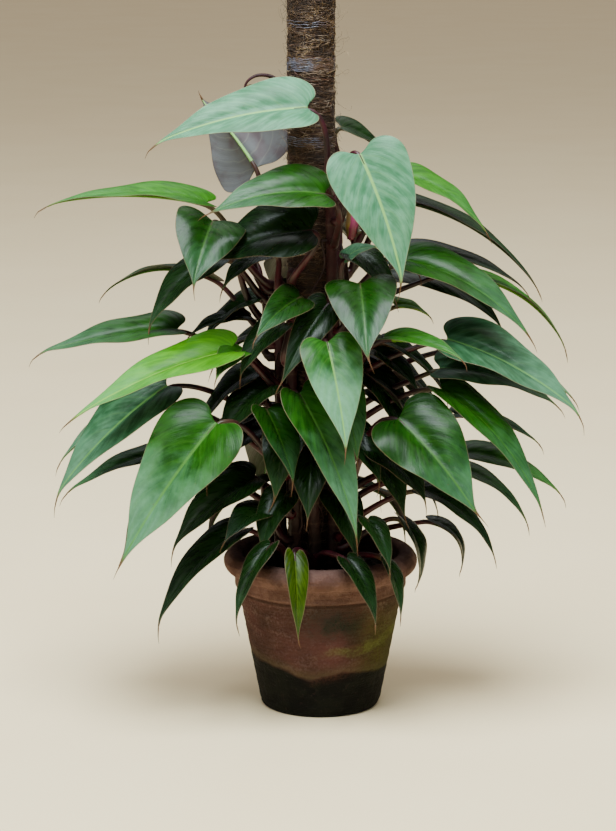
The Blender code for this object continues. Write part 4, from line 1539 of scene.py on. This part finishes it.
@dataclass
class Foliage:
    """Every leaf on the plant, with the lists that give each its tone."""

    middling: tuple[str, ...] = named("filler", 2, 8, 9, 10, 34)
    tones: tuple[tuple[Tone, tuple[str, ...]], ...] = (
        (Tone.BRIGHT, named("leaf", 12, 15, 20, 26, 41) + named("filler", 5)),
        (Tone.SILVER, named("leaf", 1, 2, 5, 42) + named("filler", 47)),
        (Tone.DEEP, named("leaf", 9, 18, 22, 25, 31, 32, 33, 36, 38, 39, 40, 43)),
    )
    # Skins apart from the body's tone, mostly painted light: the darkened middle tone and DEEP paint shade
    # on leaves under others, SHEEN, GLINT and the half-sheen tone paint sheen
    looks: tuple[tuple[Tone, tuple[str, ...]], ...] = (
        (Tone.FRESH, named("leaf", 15, 41, 37, 39, 17) + named("filler", 8)),
        (Tone.SHEEN, named("leaf", 13, 23, 10) + named("filler", 1, 2)),
        (Tone.GLINT, named("leaf", 5)),
        (Tone.HALF, named("leaf", 3, 7)),
        (Tone.OLIVE, named("leaf", 26)),
        (Tone.DUSK, named("leaf", 6, 14, 20, 24)),
        (Tone.DEEP, named("leaf", 19, 27, 28, 29, 30, 44)),
    )

    def tone(self, name: str) -> Tone:
        """Return a leaf's tone; fillers are deep unless they are listed otherwise."""
        other = Tone.DEEP if name.startswith("filler") and name not in self.middling else Tone.MID
        return next((tone for tone, names in self.tones if name in names), other)

    def look(self, name: str) -> Tone:
        """Return the tone of a leaf's skin, which light or age may set apart from its own."""
        return next((tone for tone, names in self.looks if name in names), self.tone(name))

    def build(self) -> list[bpy.types.Object]:
        """Build the leaves.

        Returns:
            The pieces.
        """
        skins = {tone: LeafSkin(tone).make() for tone in Tone}
        stalk = StalkSkin().make()
        pieces = []
        for plan in [LeafPlan.from_row("leaf", row) for row in LEAVES]:
            corners = np.array([v.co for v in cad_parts[plan.name].data.vertices])
            leaf = Leaf(f"{plan.name}_blade", plan.settled(corners), self.look(plan.name))
            pieces.append(fit(leaf.build(skins, stalk), self.tone(plan.name).slot, plan.name))
        for plan in [LeafPlan.from_row("filler", row) for row in FILLERS]:
            leaf = Leaf(f"{plan.name}_blade", plan.curve(), self.look(plan.name))
            pieces.append(fit(leaf.build(skins, stalk), self.tone(plan.name).slot))
        return pieces


# ---- Stems, roots and the new leaf ----


@dataclass
class ClimbingStems:
    """Fleshy stems up the pole, ringed at their nodes, with aerial roots."""

    rooted_depth: float = 0.028
    node_step: float = 0.026
    node_stagger: float = 0.37
    tip_length: float = 0.012
    steps: int = 120
    sides: int = 14
    roots: int = 34
    root_seed: int = 700
    root_steps: int = 16

    def stem(self, index: int) -> Shell:
        """Build one stem.

        Args:
            index: stem number.

        Returns:
            The tube.
        """
        top = STEMS[index][2]
        height = np.linspace(-self.rooted_depth, top, self.steps)
        path = np.array([stem_point(index, h) for h in height])
        share = np.maximum(height, 0.0) / top
        radius = STEM_RADIUS * (1.0 + (STEM_TAPER - 1.0) * share)
        place = (height / self.node_step + self.node_stagger * index) % 1.0
        ring = np.exp(-((place - 0.5) / 0.1) ** 2)
        radius = radius * (0.9 + 0.14 * ring + 0.02 * wavy(height * 9.0, index))
        tip = np.clip((top - height) / self.tip_length, 0.0, 1.0)
        radius = radius * (0.25 + 0.75 * np.sqrt(tip))
        return tube(path, radius, self.sides, {"along": share, "ring": ring}, 0)

    def root(self, number: int) -> Shell:
        """Build one aerial root that hugs the pole and hangs down.

        Args:
            number: the root's number, which seeds its shape.

        Returns:
            The tube.
        """
        dice = random.Random(self.root_seed + number)
        index = number % len(STEMS)
        high = dice.uniform(0.1, 1.0) * (STEMS[index][2] - 0.03)
        low = max(-0.012, high - dice.uniform(0.06, 0.22))
        side = dice.choice((-1.0, 1.0))
        points = []
        for i in range(self.root_steps):
            share = i / (self.root_steps - 1)
            height = high + (low - high) * share
            angle = stem_angle(index, height) + side * math.radians(14.0 + 34.0 * share)
            angle += 0.1 * math.sin(9.0 * share + number)
            ring = STEM_RING + 0.002 + 0.006 * math.sin(math.pi * share) * dice.uniform(0.4, 1.0)
            points.append(round_pole(angle, ring, SOIL_LEVEL + height))
        path = catmull([tuple(stem_point(index, high))] + points, 3)
        share = np.linspace(0.0, 1.0, len(path))
        radius = dice.uniform(0.0012, 0.0023) * (1.0 - 0.6 * share)
        return tube(path, radius, 6, {"along": share * 0.2, "ring": np.full(len(path), 0.35)}, 0)

    def dry_stub(self) -> Shell:
        """Build the curled stub of a lost leaf, high on the left of the pole.

        Returns:
            The tube.
        """
        across = (-0.016, -0.036, -0.052, -0.068, -0.08, -0.084, -0.08)
        above = (0.628, 0.633, 0.642, 0.643, 0.636, 0.625, 0.616)
        points = [(POLE_X + x, -0.012 + x * 0.12, SOIL_LEVEL + z) for x, z in zip(across, above)]
        path = catmull(points, 5)
        share = np.linspace(0.0, 1.0, len(path))
        return tube(path, 0.0034 * (1.0 - 0.75 * share), 8, {"along": share, "ring": share * 0.3}, 0)

    def build(self) -> list[bpy.types.Object]:
        """Build the stems and their roots.

        Returns:
            The pieces.
        """
        skin = StemSkin().make()
        pieces = []
        for index, (name, _angle, _top) in enumerate(STEMS):
            piece = raw_object(f"stem_{name}_bark", self.stem(index), [skin])
            pieces.append(fit(piece, "stem_bark", f"stem_{name}"))
        roots = functools.reduce(Shell.joined, [self.root(number) for number in range(self.roots)])
        pieces.append(fit(raw_object("aerial_roots", roots, [skin]), "stem_bark"))
        pieces.append(fit(raw_object("dry_leaf_stub", self.dry_stub(), [skin]), "stem_bark"))
        return pieces


@dataclass
class NewLeaf:
    """A rolled young leaf, half out of its pink sheath."""

    steps: int = 40
    sides: int = 24
    turns: float = 1.6
    sway: float = 0.003
    thinnest: float = 0.0004

    def roll(self, low: Vector, high: Vector, radius: float, sheath: float) -> Shell:
        """Build one pointed roll with an overlapping edge.

        Args:
            low: middle of its foot.
            high: its tip.
            radius: radius at its widest.
            sheath: 1 for the sheath, 0 for the leaf.

        Returns:
            The roll.
        """
        share = np.linspace(0.0, 1.0, self.steps)
        path = np.array([low.lerp(high, float(s)) for s in share])
        path[:, 0] += self.sway * np.sin(share * math.pi) * (1.0 if sheath else -1.0)
        width = radius * np.clip(0.55 + 1.9 * share, 0.0, 1.0)
        width = np.maximum(width * np.sqrt(np.clip(1.0 - share ** 3, 0.0, 1.0)), self.thinnest)
        shell = tube(path, width, self.sides, {"along": share, "sheath": np.full(self.steps, sheath)}, 0)
        angle = np.tile(np.arange(self.sides) / self.sides, self.steps)
        seam = (angle + np.repeat(share, self.sides) * self.turns * 0.4) % 1.0
        middle = np.repeat(path, self.sides, axis=0)
        shell.points = middle + (shell.points - middle) * (0.88 + 0.16 * seam)[:, None]
        return shell

    def build(self) -> list[bpy.types.Object]:
        """Build the young leaf where the frame holds it.

        Returns:
            The piece.
        """
        low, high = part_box("new_leaf")
        middle = (low + high) * 0.5
        foot = Vector((low.x + 0.006, middle.y, low.z))
        tip = Vector((high.x - 0.002, middle.y, high.z))
        radius = (high.y - low.y) * 0.5
        leaf = self.roll(foot, tip, radius * 0.92, 0.0)
        wrap = self.roll(foot, foot.lerp(tip, 0.78) + Vector((-0.005, -0.002, 0.008)), radius * 0.98, 1.0)
        piece = raw_object("new_leaf_roll", leaf.joined(wrap), [ShootSkin().make()])
        return [fit(piece, "new_growth", "new_leaf")]


# ---- Pot and soil ----


@dataclass
class ClayPot:
    """Thrown flowerpot with a thick rolled rim over a collar."""

    height: float = 0.208
    base_radius: float = 0.078
    rim_radius: float = 0.127
    wall: float = 0.009
    floor: float = 0.012
    collar_height: float = 0.048
    collar_step: float = 0.004
    rim_roll: float = 0.014
    rim_depth: float = 0.0146
    corner: float = 0.005
    sides: int = 180
    drain_radius: float = 0.006
    drain_reach: float = 0.045
    drains: int = 3

    def wall_radius(self, height: float) -> float:
        """Outer radius of the straight wall."""
        top = self.rim_radius - self.rim_roll - self.collar_step
        return self.base_radius + (top - self.base_radius) * height / (self.height - self.collar_height)

    def profile(self) -> np.ndarray:
        """Half section from the middle of the foot round to the middle of the floor.

        Returns:
            Rows of radius and height.
        """
        low = self.height - self.collar_height
        corner = self.corner
        rows: list[tuple[float, float]] = [(0.0, 0.0), (0.03, 0.0), (0.06, 0.0)]
        for degrees in range(-90, 1, 15):
            turn = math.radians(degrees)
            out = self.base_radius - corner + corner * math.cos(turn)
            rows.append((out, corner + corner * math.sin(turn)))
        for share in np.linspace(0.06, 0.985, 44):
            rows.append((self.wall_radius(low * share), low * share))
        edge = self.wall_radius(low)
        rows += [(edge - 0.0012, low - 0.001), (edge - 0.0008, low + 0.0006),
                 (edge + self.collar_step * 0.8, low + 0.0016), (edge + self.collar_step, low + 0.0032)]
        roll_x = self.rim_radius - self.rim_roll
        roll_z = self.height - self.rim_depth
        for share in np.linspace(0.0, 1.0, 9):
            bulge = 0.0008 * share ** 2 - 0.0004
            rows.append((edge + self.collar_step + bulge, low + 0.0055 + 0.0125 * share))
        rows.append((edge + self.collar_step + 0.002, low + 0.0196))
        for degrees in range(-54, 136, 9):
            turn = math.radians(degrees)
            rows.append((roll_x + self.rim_roll * math.cos(turn), roll_z + self.rim_depth * math.sin(turn)))
        inside = self.wall_radius(low) - self.wall
        rows.append((inside + 0.001, self.height - 0.013))
        for share in np.linspace(0.0, 1.0, 24):
            z = (self.height - 0.02) * (1 - share) + (self.floor + 0.004) * share
            rows.append((self.wall_radius(min(z, low)) - self.wall, z))
        edge = self.wall_radius(self.floor) - self.wall - 0.004
        return np.array(rows + [(edge, self.floor), (0.03, self.floor), (0.0, self.floor)])

    def shell(self) -> Shell:
        """Turn the section, with the small unevenness of a thrown pot.

        Returns:
            The pot before its drain holes.
        """
        rows = self.profile()
        turns = np.arange(self.sides) / self.sides
        angle = 2.0 * math.pi * turns
        ring = rows[1:-1]
        z = ring[:, 1][:, None]
        uneven = 0.0005 * wavy(turns, 3)[None, :] + 0.0003 * wavy(z * 55.0, 5, 6)
        outside = (np.arange(len(ring)) < 90)[:, None] & (z > 0.004)
        radius = ring[:, 0][:, None] + np.where(outside, uneven, 0.0)
        height = z + np.where(z > 0.2, 0.0006 * wavy(turns, 9)[None, :] - 0.0004, 0.0)
        height = height * np.ones_like(radius)
        points = np.stack([radius * np.cos(angle), radius * np.sin(angle), height], -1)
        points = np.vstack([points.reshape(-1, 3), [(0.0, 0.0, rows[0][1])], [(0.0, 0.0, rows[-1][1])]])
        return Shell(points, turned_faces(len(ring), self.sides))

    def drain_cutter(self) -> bpy.types.Object:
        """Make the rods that open the drain holes.

        Returns:
            The cutter.
        """
        rods = []
        for number in range(self.drains):
            angle = math.radians(90.0) + 2.0 * math.pi * number / self.drains
            x, y = self.drain_reach * math.cos(angle), self.drain_reach * math.sin(angle)
            path = np.array([(x, y, -0.01), (x, y, 0.01), (x, y, 0.03)])
            rods.append(tube(path, np.full(3, self.drain_radius), 24, {}, 0))
        return raw_object("drain_rods", functools.reduce(Shell.joined, rods), [])

    def build(self) -> list[bpy.types.Object]:
        """Build the pot.

        Returns:
            The piece.
        """
        pot = raw_object("clay_pot", self.shell(), [ClaySkin().make()])
        cutter = self.drain_cutter()
        step = pot.modifiers.new("drains", "BOOLEAN")
        step.object = cutter
        step.solver = "EXACT"
        graph = bpy.context.evaluated_depsgraph_get()
        mesh = bpy.data.meshes.new_from_object(pot.evaluated_get(graph), depsgraph=graph)
        pot.modifiers.clear()
        pot.data = mesh
        bpy.data.objects.remove(cutter, do_unlink=True)
        return [fit(pot, "clay", "pot")]


@dataclass
class Soil:
    """Lumpy damp soil with crumbs and bark chips on it."""

    radius: float = 0.0992
    bottom: float = 0.02
    foot_share: float = 0.78
    sunk: float = 0.004
    lumps: float = 0.0016
    strewn_from: float = 0.031
    strewn_to: float = 0.096
    rings: int = 34
    sides: int = 96
    crumb_density: float = 52000.0
    chip_density: float = 9000.0

    def shell(self) -> Shell:
        """Build the soil as a closed body with an uneven top.

        Returns:
            The soil.
        """
        share = np.linspace(0.0, 1.0, self.rings)[1:]
        angle = 2.0 * math.pi * np.arange(self.sides) / self.sides
        x = self.radius * share[:, None] * np.cos(angle)
        y = self.radius * share[:, None] * np.sin(angle)
        waves = wavy(x * 14.0 + y * 5.0, 21, 6), wavy(y * 17.0 - x * 6.0, 22, 6)
        z = SOIL_LEVEL - self.sunk + self.lumps * waves[0] + self.lumps * waves[1]
        z = z - self.sunk * share[:, None] ** 6
        points = np.stack([x, y, z], -1).reshape(-1, 3)
        bottom = np.full(self.sides, self.bottom)
        low = np.stack([x[-1] * self.foot_share, y[-1] * self.foot_share, bottom], -1)
        points = np.vstack([points, low, [(0.0, 0.0, SOIL_LEVEL - self.sunk)], [(0.0, 0.0, self.bottom)]])
        return Shell(points, turned_faces(self.rings, self.sides))

    def surface(self) -> bpy.types.Object:
        """Make the flat ring on which crumbs are strewn."""
        rings = (POLE_X, self.strewn_from, SOIL_LEVEL), (0.0, self.strewn_to, SOIL_LEVEL - 0.003)
        return open_band("strewn_ring", 48, rings)

    def strewn(self, name: str, density: float, shape: tuple[float, float, float], seed: int,
               material: bpy.types.Material) -> bpy.types.Object:
        """Strew rough bits over the soil.

        Args:
            name: name of the piece.
            density: bits in a square metre.
            shape: length, width and thickness of a bit.
            seed: seed of their places.
            material: finish.

        Returns:
            The piece.
        """
        recipe = Recipe(name)
        amount = recipe.size("Bits per square metre", density)
        longest = recipe.size("Length", shape[0])
        spot = recipe.scattered(amount, seed)
        bit = recipe.wire("GeometryNodeMeshIcoSphere", {}, {"Radius": 0.5, "Subdivisions": 1})
        size = recipe.scaled((1.0, shape[1] / shape[0], shape[2] / shape[0]),
                             longest * recipe.chance(0.35, 1.0, seed + 1))
        spin = recipe.node("FunctionNodeRandomValue", {"data_type": "FLOAT_VECTOR"},
                           {0: (-0.5, -0.5, 0.0), 1: (0.5, 0.5, 6.283), "Seed": seed + 2})
        placed = recipe.wire("GeometryNodeInstanceOnPoints", {}, {
            "Points": Wire(recipe, spot.outputs["Points"]), "Instance": bit,
            "Rotation": Wire(recipe, spin.outputs[0]), "Scale": size})
        solid = recipe.wire("GeometryNodeRealizeInstances", {}, {"Geometry": placed})
        recipe.finish(recipe.moved(solid, recipe.jitter(420.0, 1.0, shape[2] * 1.4)), material)
        return recipe.harvest(self.surface(), name)

    def build(self) -> list[bpy.types.Object]:
        """Build the soil and what lies on it.

        Returns:
            The pieces.
        """
        dark = EarthSkin("damp_soil", (0.0045, 0.0036, 0.003), (0.026, 0.018, 0.013)).make()
        chip = EarthSkin("bark_chips", (0.014, 0.008, 0.006), (0.085, 0.05, 0.03)).make()
        body = raw_object("soil_body", self.shell(), [dark])
        crumbs = self.strewn("soil_crumbs", self.crumb_density, (0.0052, 0.0042, 0.0034), 31, dark)
        chips = self.strewn("soil_chips", self.chip_density, (0.0105, 0.005, 0.0024), 41, chip)
        return [fit(body, "earth", "soil"), fit(crumbs, "earth"), fit(chips, "earth")]


# ---- Coir pole ----


@dataclass(frozen=True)
class FibreLay:
    """How one layer of coir fibres is laid."""

    name: str
    density: float
    length: float
    thickness: float
    tilt: float
    wiggle: float
    hug: float
    seed: int
    low: float = SOIL_LEVEL - 0.004
    high: float = POLE_TOP - 0.002
    lumps: float = 0.0085


@dataclass(frozen=True)
class TwineBand:
    """One band of binding twine: its height above the soil, depth and number of turns."""

    name: str
    height: float
    depth: float
    turns: float
    radius: float
    body: str = ""
    looseness: float = 0.006


@dataclass
class CoirPole:
    """Wooden core in a thick wrap of tangled coir, bound with twine."""

    low: float = 0.15
    loose: int = 54
    wrap_sides: int = 72
    wrap_rows: int = 260
    wrap_shade: float = 0.18
    under_fibres: float = 0.0024
    pinch: float = 0.0012
    pinch_reach: float = 0.011
    hair_seed: int = 1300
    bands: tuple[TwineBand, ...] = (
        TwineBand("twine_1", 0.657, 0.017, 9.0, 0.0007, "band_1"),
        TwineBand("twine_2", 0.56, 0.013, 5.0, 0.0006, "band_2"),
        TwineBand("twine_3", 0.708, 0.01, 3.0, 0.0005),
    )
    lays: tuple[FibreLay, ...] = (
        FibreLay("coir_wound_low", 30000.0, 0.08, 0.00038, 0.22, 0.007, 1.0, 61, high=0.57),
        FibreLay("coir_wound_high", 30000.0, 0.08, 0.00038, 0.22, 0.007, 1.0, 56, low=0.57),
        FibreLay("coir_ties", 1500.0, 0.12, 0.00075, 0.16, 0.008, 1.0, 66, SOIL_LEVEL, 0.86),
        FibreLay("coir_curls", 42000.0, 0.03, 0.00038, 1.5, 0.016, 1.0, 71, 0.845),
        FibreLay("coir_tangle", 14000.0, 0.036, 0.00032, 1.5, 0.014, 1.0, 76, SOIL_LEVEL, 0.87),
        FibreLay("coir_stray", 2600.0, 0.085, 0.00017, 0.9, 0.034, 0.3, 81),
    )

    def wrap(self) -> Shell:
        """Build the lumpy body of the wrap, as a closed sleeve round the core.

        Returns:
            The wrap.
        """
        sides, rows = self.wrap_sides, self.wrap_rows
        turn = np.arange(sides) / sides
        z = np.linspace(self.low, POLE_TOP - 0.001, rows)
        lumps = 0.0008 * wavy(z[:, None] * 21.0 + turn[None, :], 51, 7)
        lumps = lumps + 0.0006 * wavy(z[:, None] * 90.0 - 2.0 * turn[None, :], 52, 5)
        radius = WRAP_RADIUS - self.under_fibres + lumps
        for band in self.bands:
            pinch = np.exp(-((z - SOIL_LEVEL - band.height) / self.pinch_reach) ** 2)
            radius = radius - self.pinch * pinch[:, None]
        edge = np.clip((POLE_TOP - z) / 0.006, 0.0, 1.0)
        radius = radius - 0.004 * (1.0 - np.sqrt(edge))[:, None]
        angle = 2.0 * math.pi * turn
        radius = np.vstack([radius, np.full((2, sides), CORE_RADIUS + GAP)])
        z = np.concatenate([z, [POLE_TOP - 0.004, self.low]])[:, None] * np.ones(sides)
        points = np.stack([POLE_X + radius * np.cos(angle), radius * np.sin(angle), z], -1).reshape(-1, 3)
        shade = {"shade": np.full(len(points), self.wrap_shade)}
        return Shell(points, ring_faces(rows + 2, sides, True), shade)

    def sleeve(self, radius: float, low: float = SOIL_LEVEL, high: float = POLE_TOP) -> bpy.types.Object:
        """Make the plain surface that fibres start from, between two heights."""
        return open_band("fibre_sleeve", 40, ((POLE_X, radius, low), (POLE_X, radius, high)))

    def loose_hair(self, number: int) -> Shell:
        """Build one long pale hair that has sprung out of the wrap.

        Args:
            number: the hair's number, which seeds its shape.

        Returns:
            The tube.
        """
        dice = random.Random(self.hair_seed + number)
        angle = dice.uniform(-math.pi, math.pi)
        z = dice.uniform(0.4, POLE_TOP - 0.02) if number % 3 else dice.uniform(0.82, 0.9)
        reach = dice.uniform(0.01, 0.03)
        bend = dice.uniform(-1.2, 1.2)
        fall = dice.uniform(-0.02, 0.022)
        points = []
        for share in np.linspace(0.0, 1.0, 6):
            out = WRAP_RADIUS - 0.003 + reach * math.sin(math.pi * 0.62 * share)
            turn = angle + bend * share
            level = z + fall * share + 0.004 * math.sin(7.0 * share + number)
            points.append(round_pole(turn, out, level))
        path = catmull(points, 5)
        share = np.linspace(0.0, 1.0, len(path))
        shade = np.full(len(path), dice.uniform(0.8, 1.0))
        return tube(path, 0.00019 * (1.0 - 0.6 * share), 4, {"shade": shade}, 0)

    def fibres(self, lay: FibreLay, material: bpy.types.Material) -> bpy.types.Object:
        """Lay coir fibres round the pole.

        Args:
            lay: how they are laid.
            material: finish.

        Returns:
            The piece.
        """
        seed = lay.seed
        recipe = Recipe(lay.name)
        amount = recipe.size("Fibres per square metre", lay.density)
        reach = recipe.size("Fibre length", lay.length)
        hair = recipe.size("Fibre radius", lay.thickness)
        stray = recipe.size("Wiggle", lay.wiggle)
        close = recipe.size("Hug", lay.hug)
        spot = recipe.scattered(amount, seed)
        normal = Wire(recipe, spot.outputs["Normal"])
        round_pole = recipe.vector("CROSS_PRODUCT", (0.0, 0.0, 1.0), normal)
        lean = recipe.wire("FunctionNodeAlignRotationToVector", {"axis": "Z"}, {"Vector": normal})
        level = recipe.wire("FunctionNodeAlignRotationToVector", {"axis": "X", "pivot_axis": "Z"},
                            {"Rotation": lean, "Vector": round_pole})
        lean_by = recipe.chance(-lay.tilt, lay.tilt, seed + 1)
        about = {"Axis": (0.0, 0.0, 1.0), "Angle": lean_by}
        swing = recipe.wire("FunctionNodeAxisAngleToRotation", {}, about)
        turn = recipe.wire("FunctionNodeRotateRotation", {"rotation_space": "LOCAL"},
                           {"Rotation": level, "Rotate By": swing})
        ends = {"Start": (-0.5, 0.0, 0.0), "End": (0.5, 0.0, 0.0)}
        line = recipe.wire("GeometryNodeCurvePrimitiveLine", {}, ends)
        line = recipe.wire("GeometryNodeResampleCurve", {}, {"Curve": line, "Count": 11})
        size = recipe.scaled((1.0, 1.0, 1.0), reach * recipe.chance(0.45, 1.0, seed + 2))
        placed = recipe.wire("GeometryNodeInstanceOnPoints", {}, {
            "Points": Wire(recipe, spot.outputs["Points"]), "Instance": line,
            "Rotation": turn, "Scale": size})
        kind = {"data_type": "FLOAT", "domain": "INSTANCE"}
        shade = {"Geometry": placed, "Name": "shade", "Value": recipe.chance(0.0, 1.0, seed + 3)}
        shaded = recipe.wire("GeometryNodeStoreNamedAttribute", kind, shade)
        loose = recipe.wire("GeometryNodeRealizeInstances", {}, {"Geometry": shaded})
        loose = recipe.moved(loose, recipe.jitter(75.0, 2.0, stray))
        here = recipe.vector("SUBTRACT", recipe.position(), (POLE_X, 0.0, 0.0))
        flat = recipe.vector("MULTIPLY", here, (1.0, 1.0, 0.0))
        distance = recipe.vector("LENGTH", flat, output="Value")
        jitter = (recipe.noise(recipe.position(), 105.0, 3.0) - 0.5) * lay.lumps
        wanted = jitter + (WRAP_RADIUS - 0.0003)
        inward = recipe.scaled(flat, close * (wanted / distance - 1.0))
        hugged = recipe.moved(loose, inward)
        recipe.finish(recipe.swept(hugged, 3, hair), material)
        return recipe.harvest(self.sleeve(WRAP_RADIUS - 0.001, lay.low, lay.high), lay.name)

    def twine(self, band: TwineBand, material: bpy.types.Material) -> bpy.types.Object:
        """Wind one band of twine.

        Args:
            band: where and how it is wound.
            material: finish.

        Returns:
            The piece.
        """
        recipe = Recipe(band.name)
        turns = recipe.size("Turns", band.turns)
        ring = recipe.size("Ring radius", WRAP_RADIUS + 0.0002)
        thick = recipe.size("Twine radius", band.radius)
        depth = recipe.size("Band depth", band.depth)
        coil = recipe.wire("GeometryNodeCurveSpiral", {}, {
            "Resolution": 40, "Rotations": turns, "Start Radius": ring, "End Radius": ring,
            "Height": depth})
        centre = (POLE_X, 0.0, SOIL_LEVEL + band.height - band.depth * 0.5)
        coil = recipe.wire("GeometryNodeTransform", {}, {"Geometry": coil, "Translation": centre})
        coil = recipe.moved(coil, recipe.jitter(130.0, 2.0, band.looseness))
        recipe.finish(recipe.swept(coil, 8, thick), material)
        return recipe.harvest(self.sleeve(WRAP_RADIUS), band.name)

    def core(self) -> Shell:
        """Build the round wooden core with a softened top edge.

        Returns:
            The core.
        """
        low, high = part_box("pole_core")
        radius = CORE_RADIUS - 0.0001
        heights = [low.z, low.z + 0.2, 0.5, 0.8, high.z - 0.0025, high.z - 0.0008, high.z]
        radii = [radius, radius, radius, radius, radius, radius - 0.0006, radius - 0.0022]
        path = np.array([(POLE_X, 0.0, z) for z in heights])
        return tube(path, np.array(radii), 40, {}, 0)

    def build(self) -> list[bpy.types.Object]:
        """Build the pole.

        Returns:
            The pieces.
        """
        coir = FibreSkin("coir_hair", BROWN_HAIR).make()
        curly = FibreSkin("coir_curly_hair", GOLD_HAIR).make()
        tied = FibreSkin("coir_russet_hair", RUSSET_HAIR, 0.45).make()
        timber = TimberSkin().make()
        twine = TwineSkin().make()
        finishes = {"coir_curls": curly, "coir_stray": curly, "coir_ties": tied}
        wrap = raw_object("coir_sleeve", self.wrap(), [coir])
        core = raw_object("core_rod", self.core(), [timber])
        pieces = [fit(wrap, "coir", "coir_wrap"), fit(core, "timber", "pole_core")]
        for lay in self.lays:
            pieces.append(fit(self.fibres(lay, finishes.get(lay.name, coir)), "coir"))
        hairs = functools.reduce(Shell.joined, [self.loose_hair(number) for number in range(self.loose)])
        pieces.append(fit(raw_object("coir_loose_hairs", hairs, [curly]), "coir"))
        for band in self.bands:
            pieces.append(fit(self.twine(band, twine), "twine", *([band.body] if band.body else [])))
        return pieces


# ---- Studio ----


@dataclass
class Studio:
    """Pale floor, soft lights and the camera."""

    floor_size: float = 90.0
    lens: float = 120.0
    sensor: float = 36.0
    camera_place: tuple[float, float, float] = (-0.0159, -3.5269, 1.1164)
    camera_tilt: float = 11.7
    aim_height: float = 0.45
    sun_power: float = 1.2
    sun_spread: float = 70.0
    air_strength: float = 0.15

    def floor(self) -> None:
        """Lay the floor."""
        half = self.floor_size * 0.5
        points = np.array([(-half, -half, 0.0), (half, -half, 0.0), (half, half, 0.0), (-half, half, 0.0)])
        paint = Paint("pale_floor")
        cloud = paint.noise(paint.place(), 3.0, 4.0)
        colour = paint.blend(cloud, (0.86, 0.67, 0.39), (0.92, 0.74, 0.46))
        piece = raw_object("studio_floor", Shell(points, [(0, 1, 2, 3)]), [paint.done(colour, 0.85)])

    def light(self, name: str, place: tuple[float, float, float], size: float, power: float,
              colour: Colour) -> None:
        """Hang one soft light aimed at the middle of the plant.

        Args:
            name: its name.
            place: where it hangs.
            size: side of its square face.
            power: watts.
            colour: its colour.
        """
        data = bpy.data.lights.new(name, "AREA")
        data.size = size
        data.energy = power
        data.color = colour
        lamp = linked(name, data)
        lamp.location = place
        aim = Vector((0.0, 0.0, self.aim_height)) - Vector(place)
        lamp.rotation_euler = aim.to_track_quat("-Z", "Y").to_euler()

    def sun(self) -> None:
        """Add even daylight, so that the floor stays pale far behind the plant."""
        data = bpy.data.lights.new("even_daylight", "SUN")
        data.energy = self.sun_power
        data.angle = math.radians(self.sun_spread)
        data.color = (1.0, 0.96, 0.88)
        linked("even_daylight", data).rotation_euler = (math.radians(-18.0), math.radians(14.0), 0.0)

    def camera(self) -> None:
        """Set the camera."""
        data = bpy.data.cameras.new("camera")
        data.lens = self.lens
        data.sensor_width = self.sensor
        data.clip_end = 200.0
        lens = linked("camera", data)
        lens.location = self.camera_place
        lens.rotation_euler = (math.radians(90.0 - self.camera_tilt), 0.0, 0.0)
        bpy.context.scene.camera = lens

    def build(self) -> None:
        """Build the studio."""
        self.camera()
        self.floor()
        self.light("sky_behind", (-0.6, 3.4, 4.4), 3.4, 38.0, (0.84, 0.95, 1.0))
        self.light("sky_above", (-0.25, -1.6, 4.8), 3.0, 660.0, (0.86, 0.97, 1.0))
        self.light("window_left", (-3.4, -2.4, 2.6), 2.0, 46.0, (1.0, 0.97, 0.92))
        self.sun()
        world = bpy.data.worlds.new("studio_air")
        world.use_nodes = True
        air = world.node_tree.nodes["Background"]
        air.inputs["Color"].default_value = (0.96, 0.97, 1.0, 1.0)
        air.inputs["Strength"].default_value = self.air_strength
        bpy.context.scene.world = world


def main() -> None:
    """Build the studio and every sub-assembly in order."""
    logging.basicConfig(level=logging.INFO, format="%(message)s")
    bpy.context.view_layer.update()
    Studio().build()
    for assembly in (ClayPot(), Soil(), CoirPole(), ClimbingStems(), NewLeaf(), Foliage()):
        for piece in assembly.build():
            triangles = sum(len(face.vertices) - 2 for face in piece.data.polygons)
            LOG.info("%s: %s, %d triangles", type(assembly).__name__, piece.name, triangles)


if __name__ == "__main__":
    main()
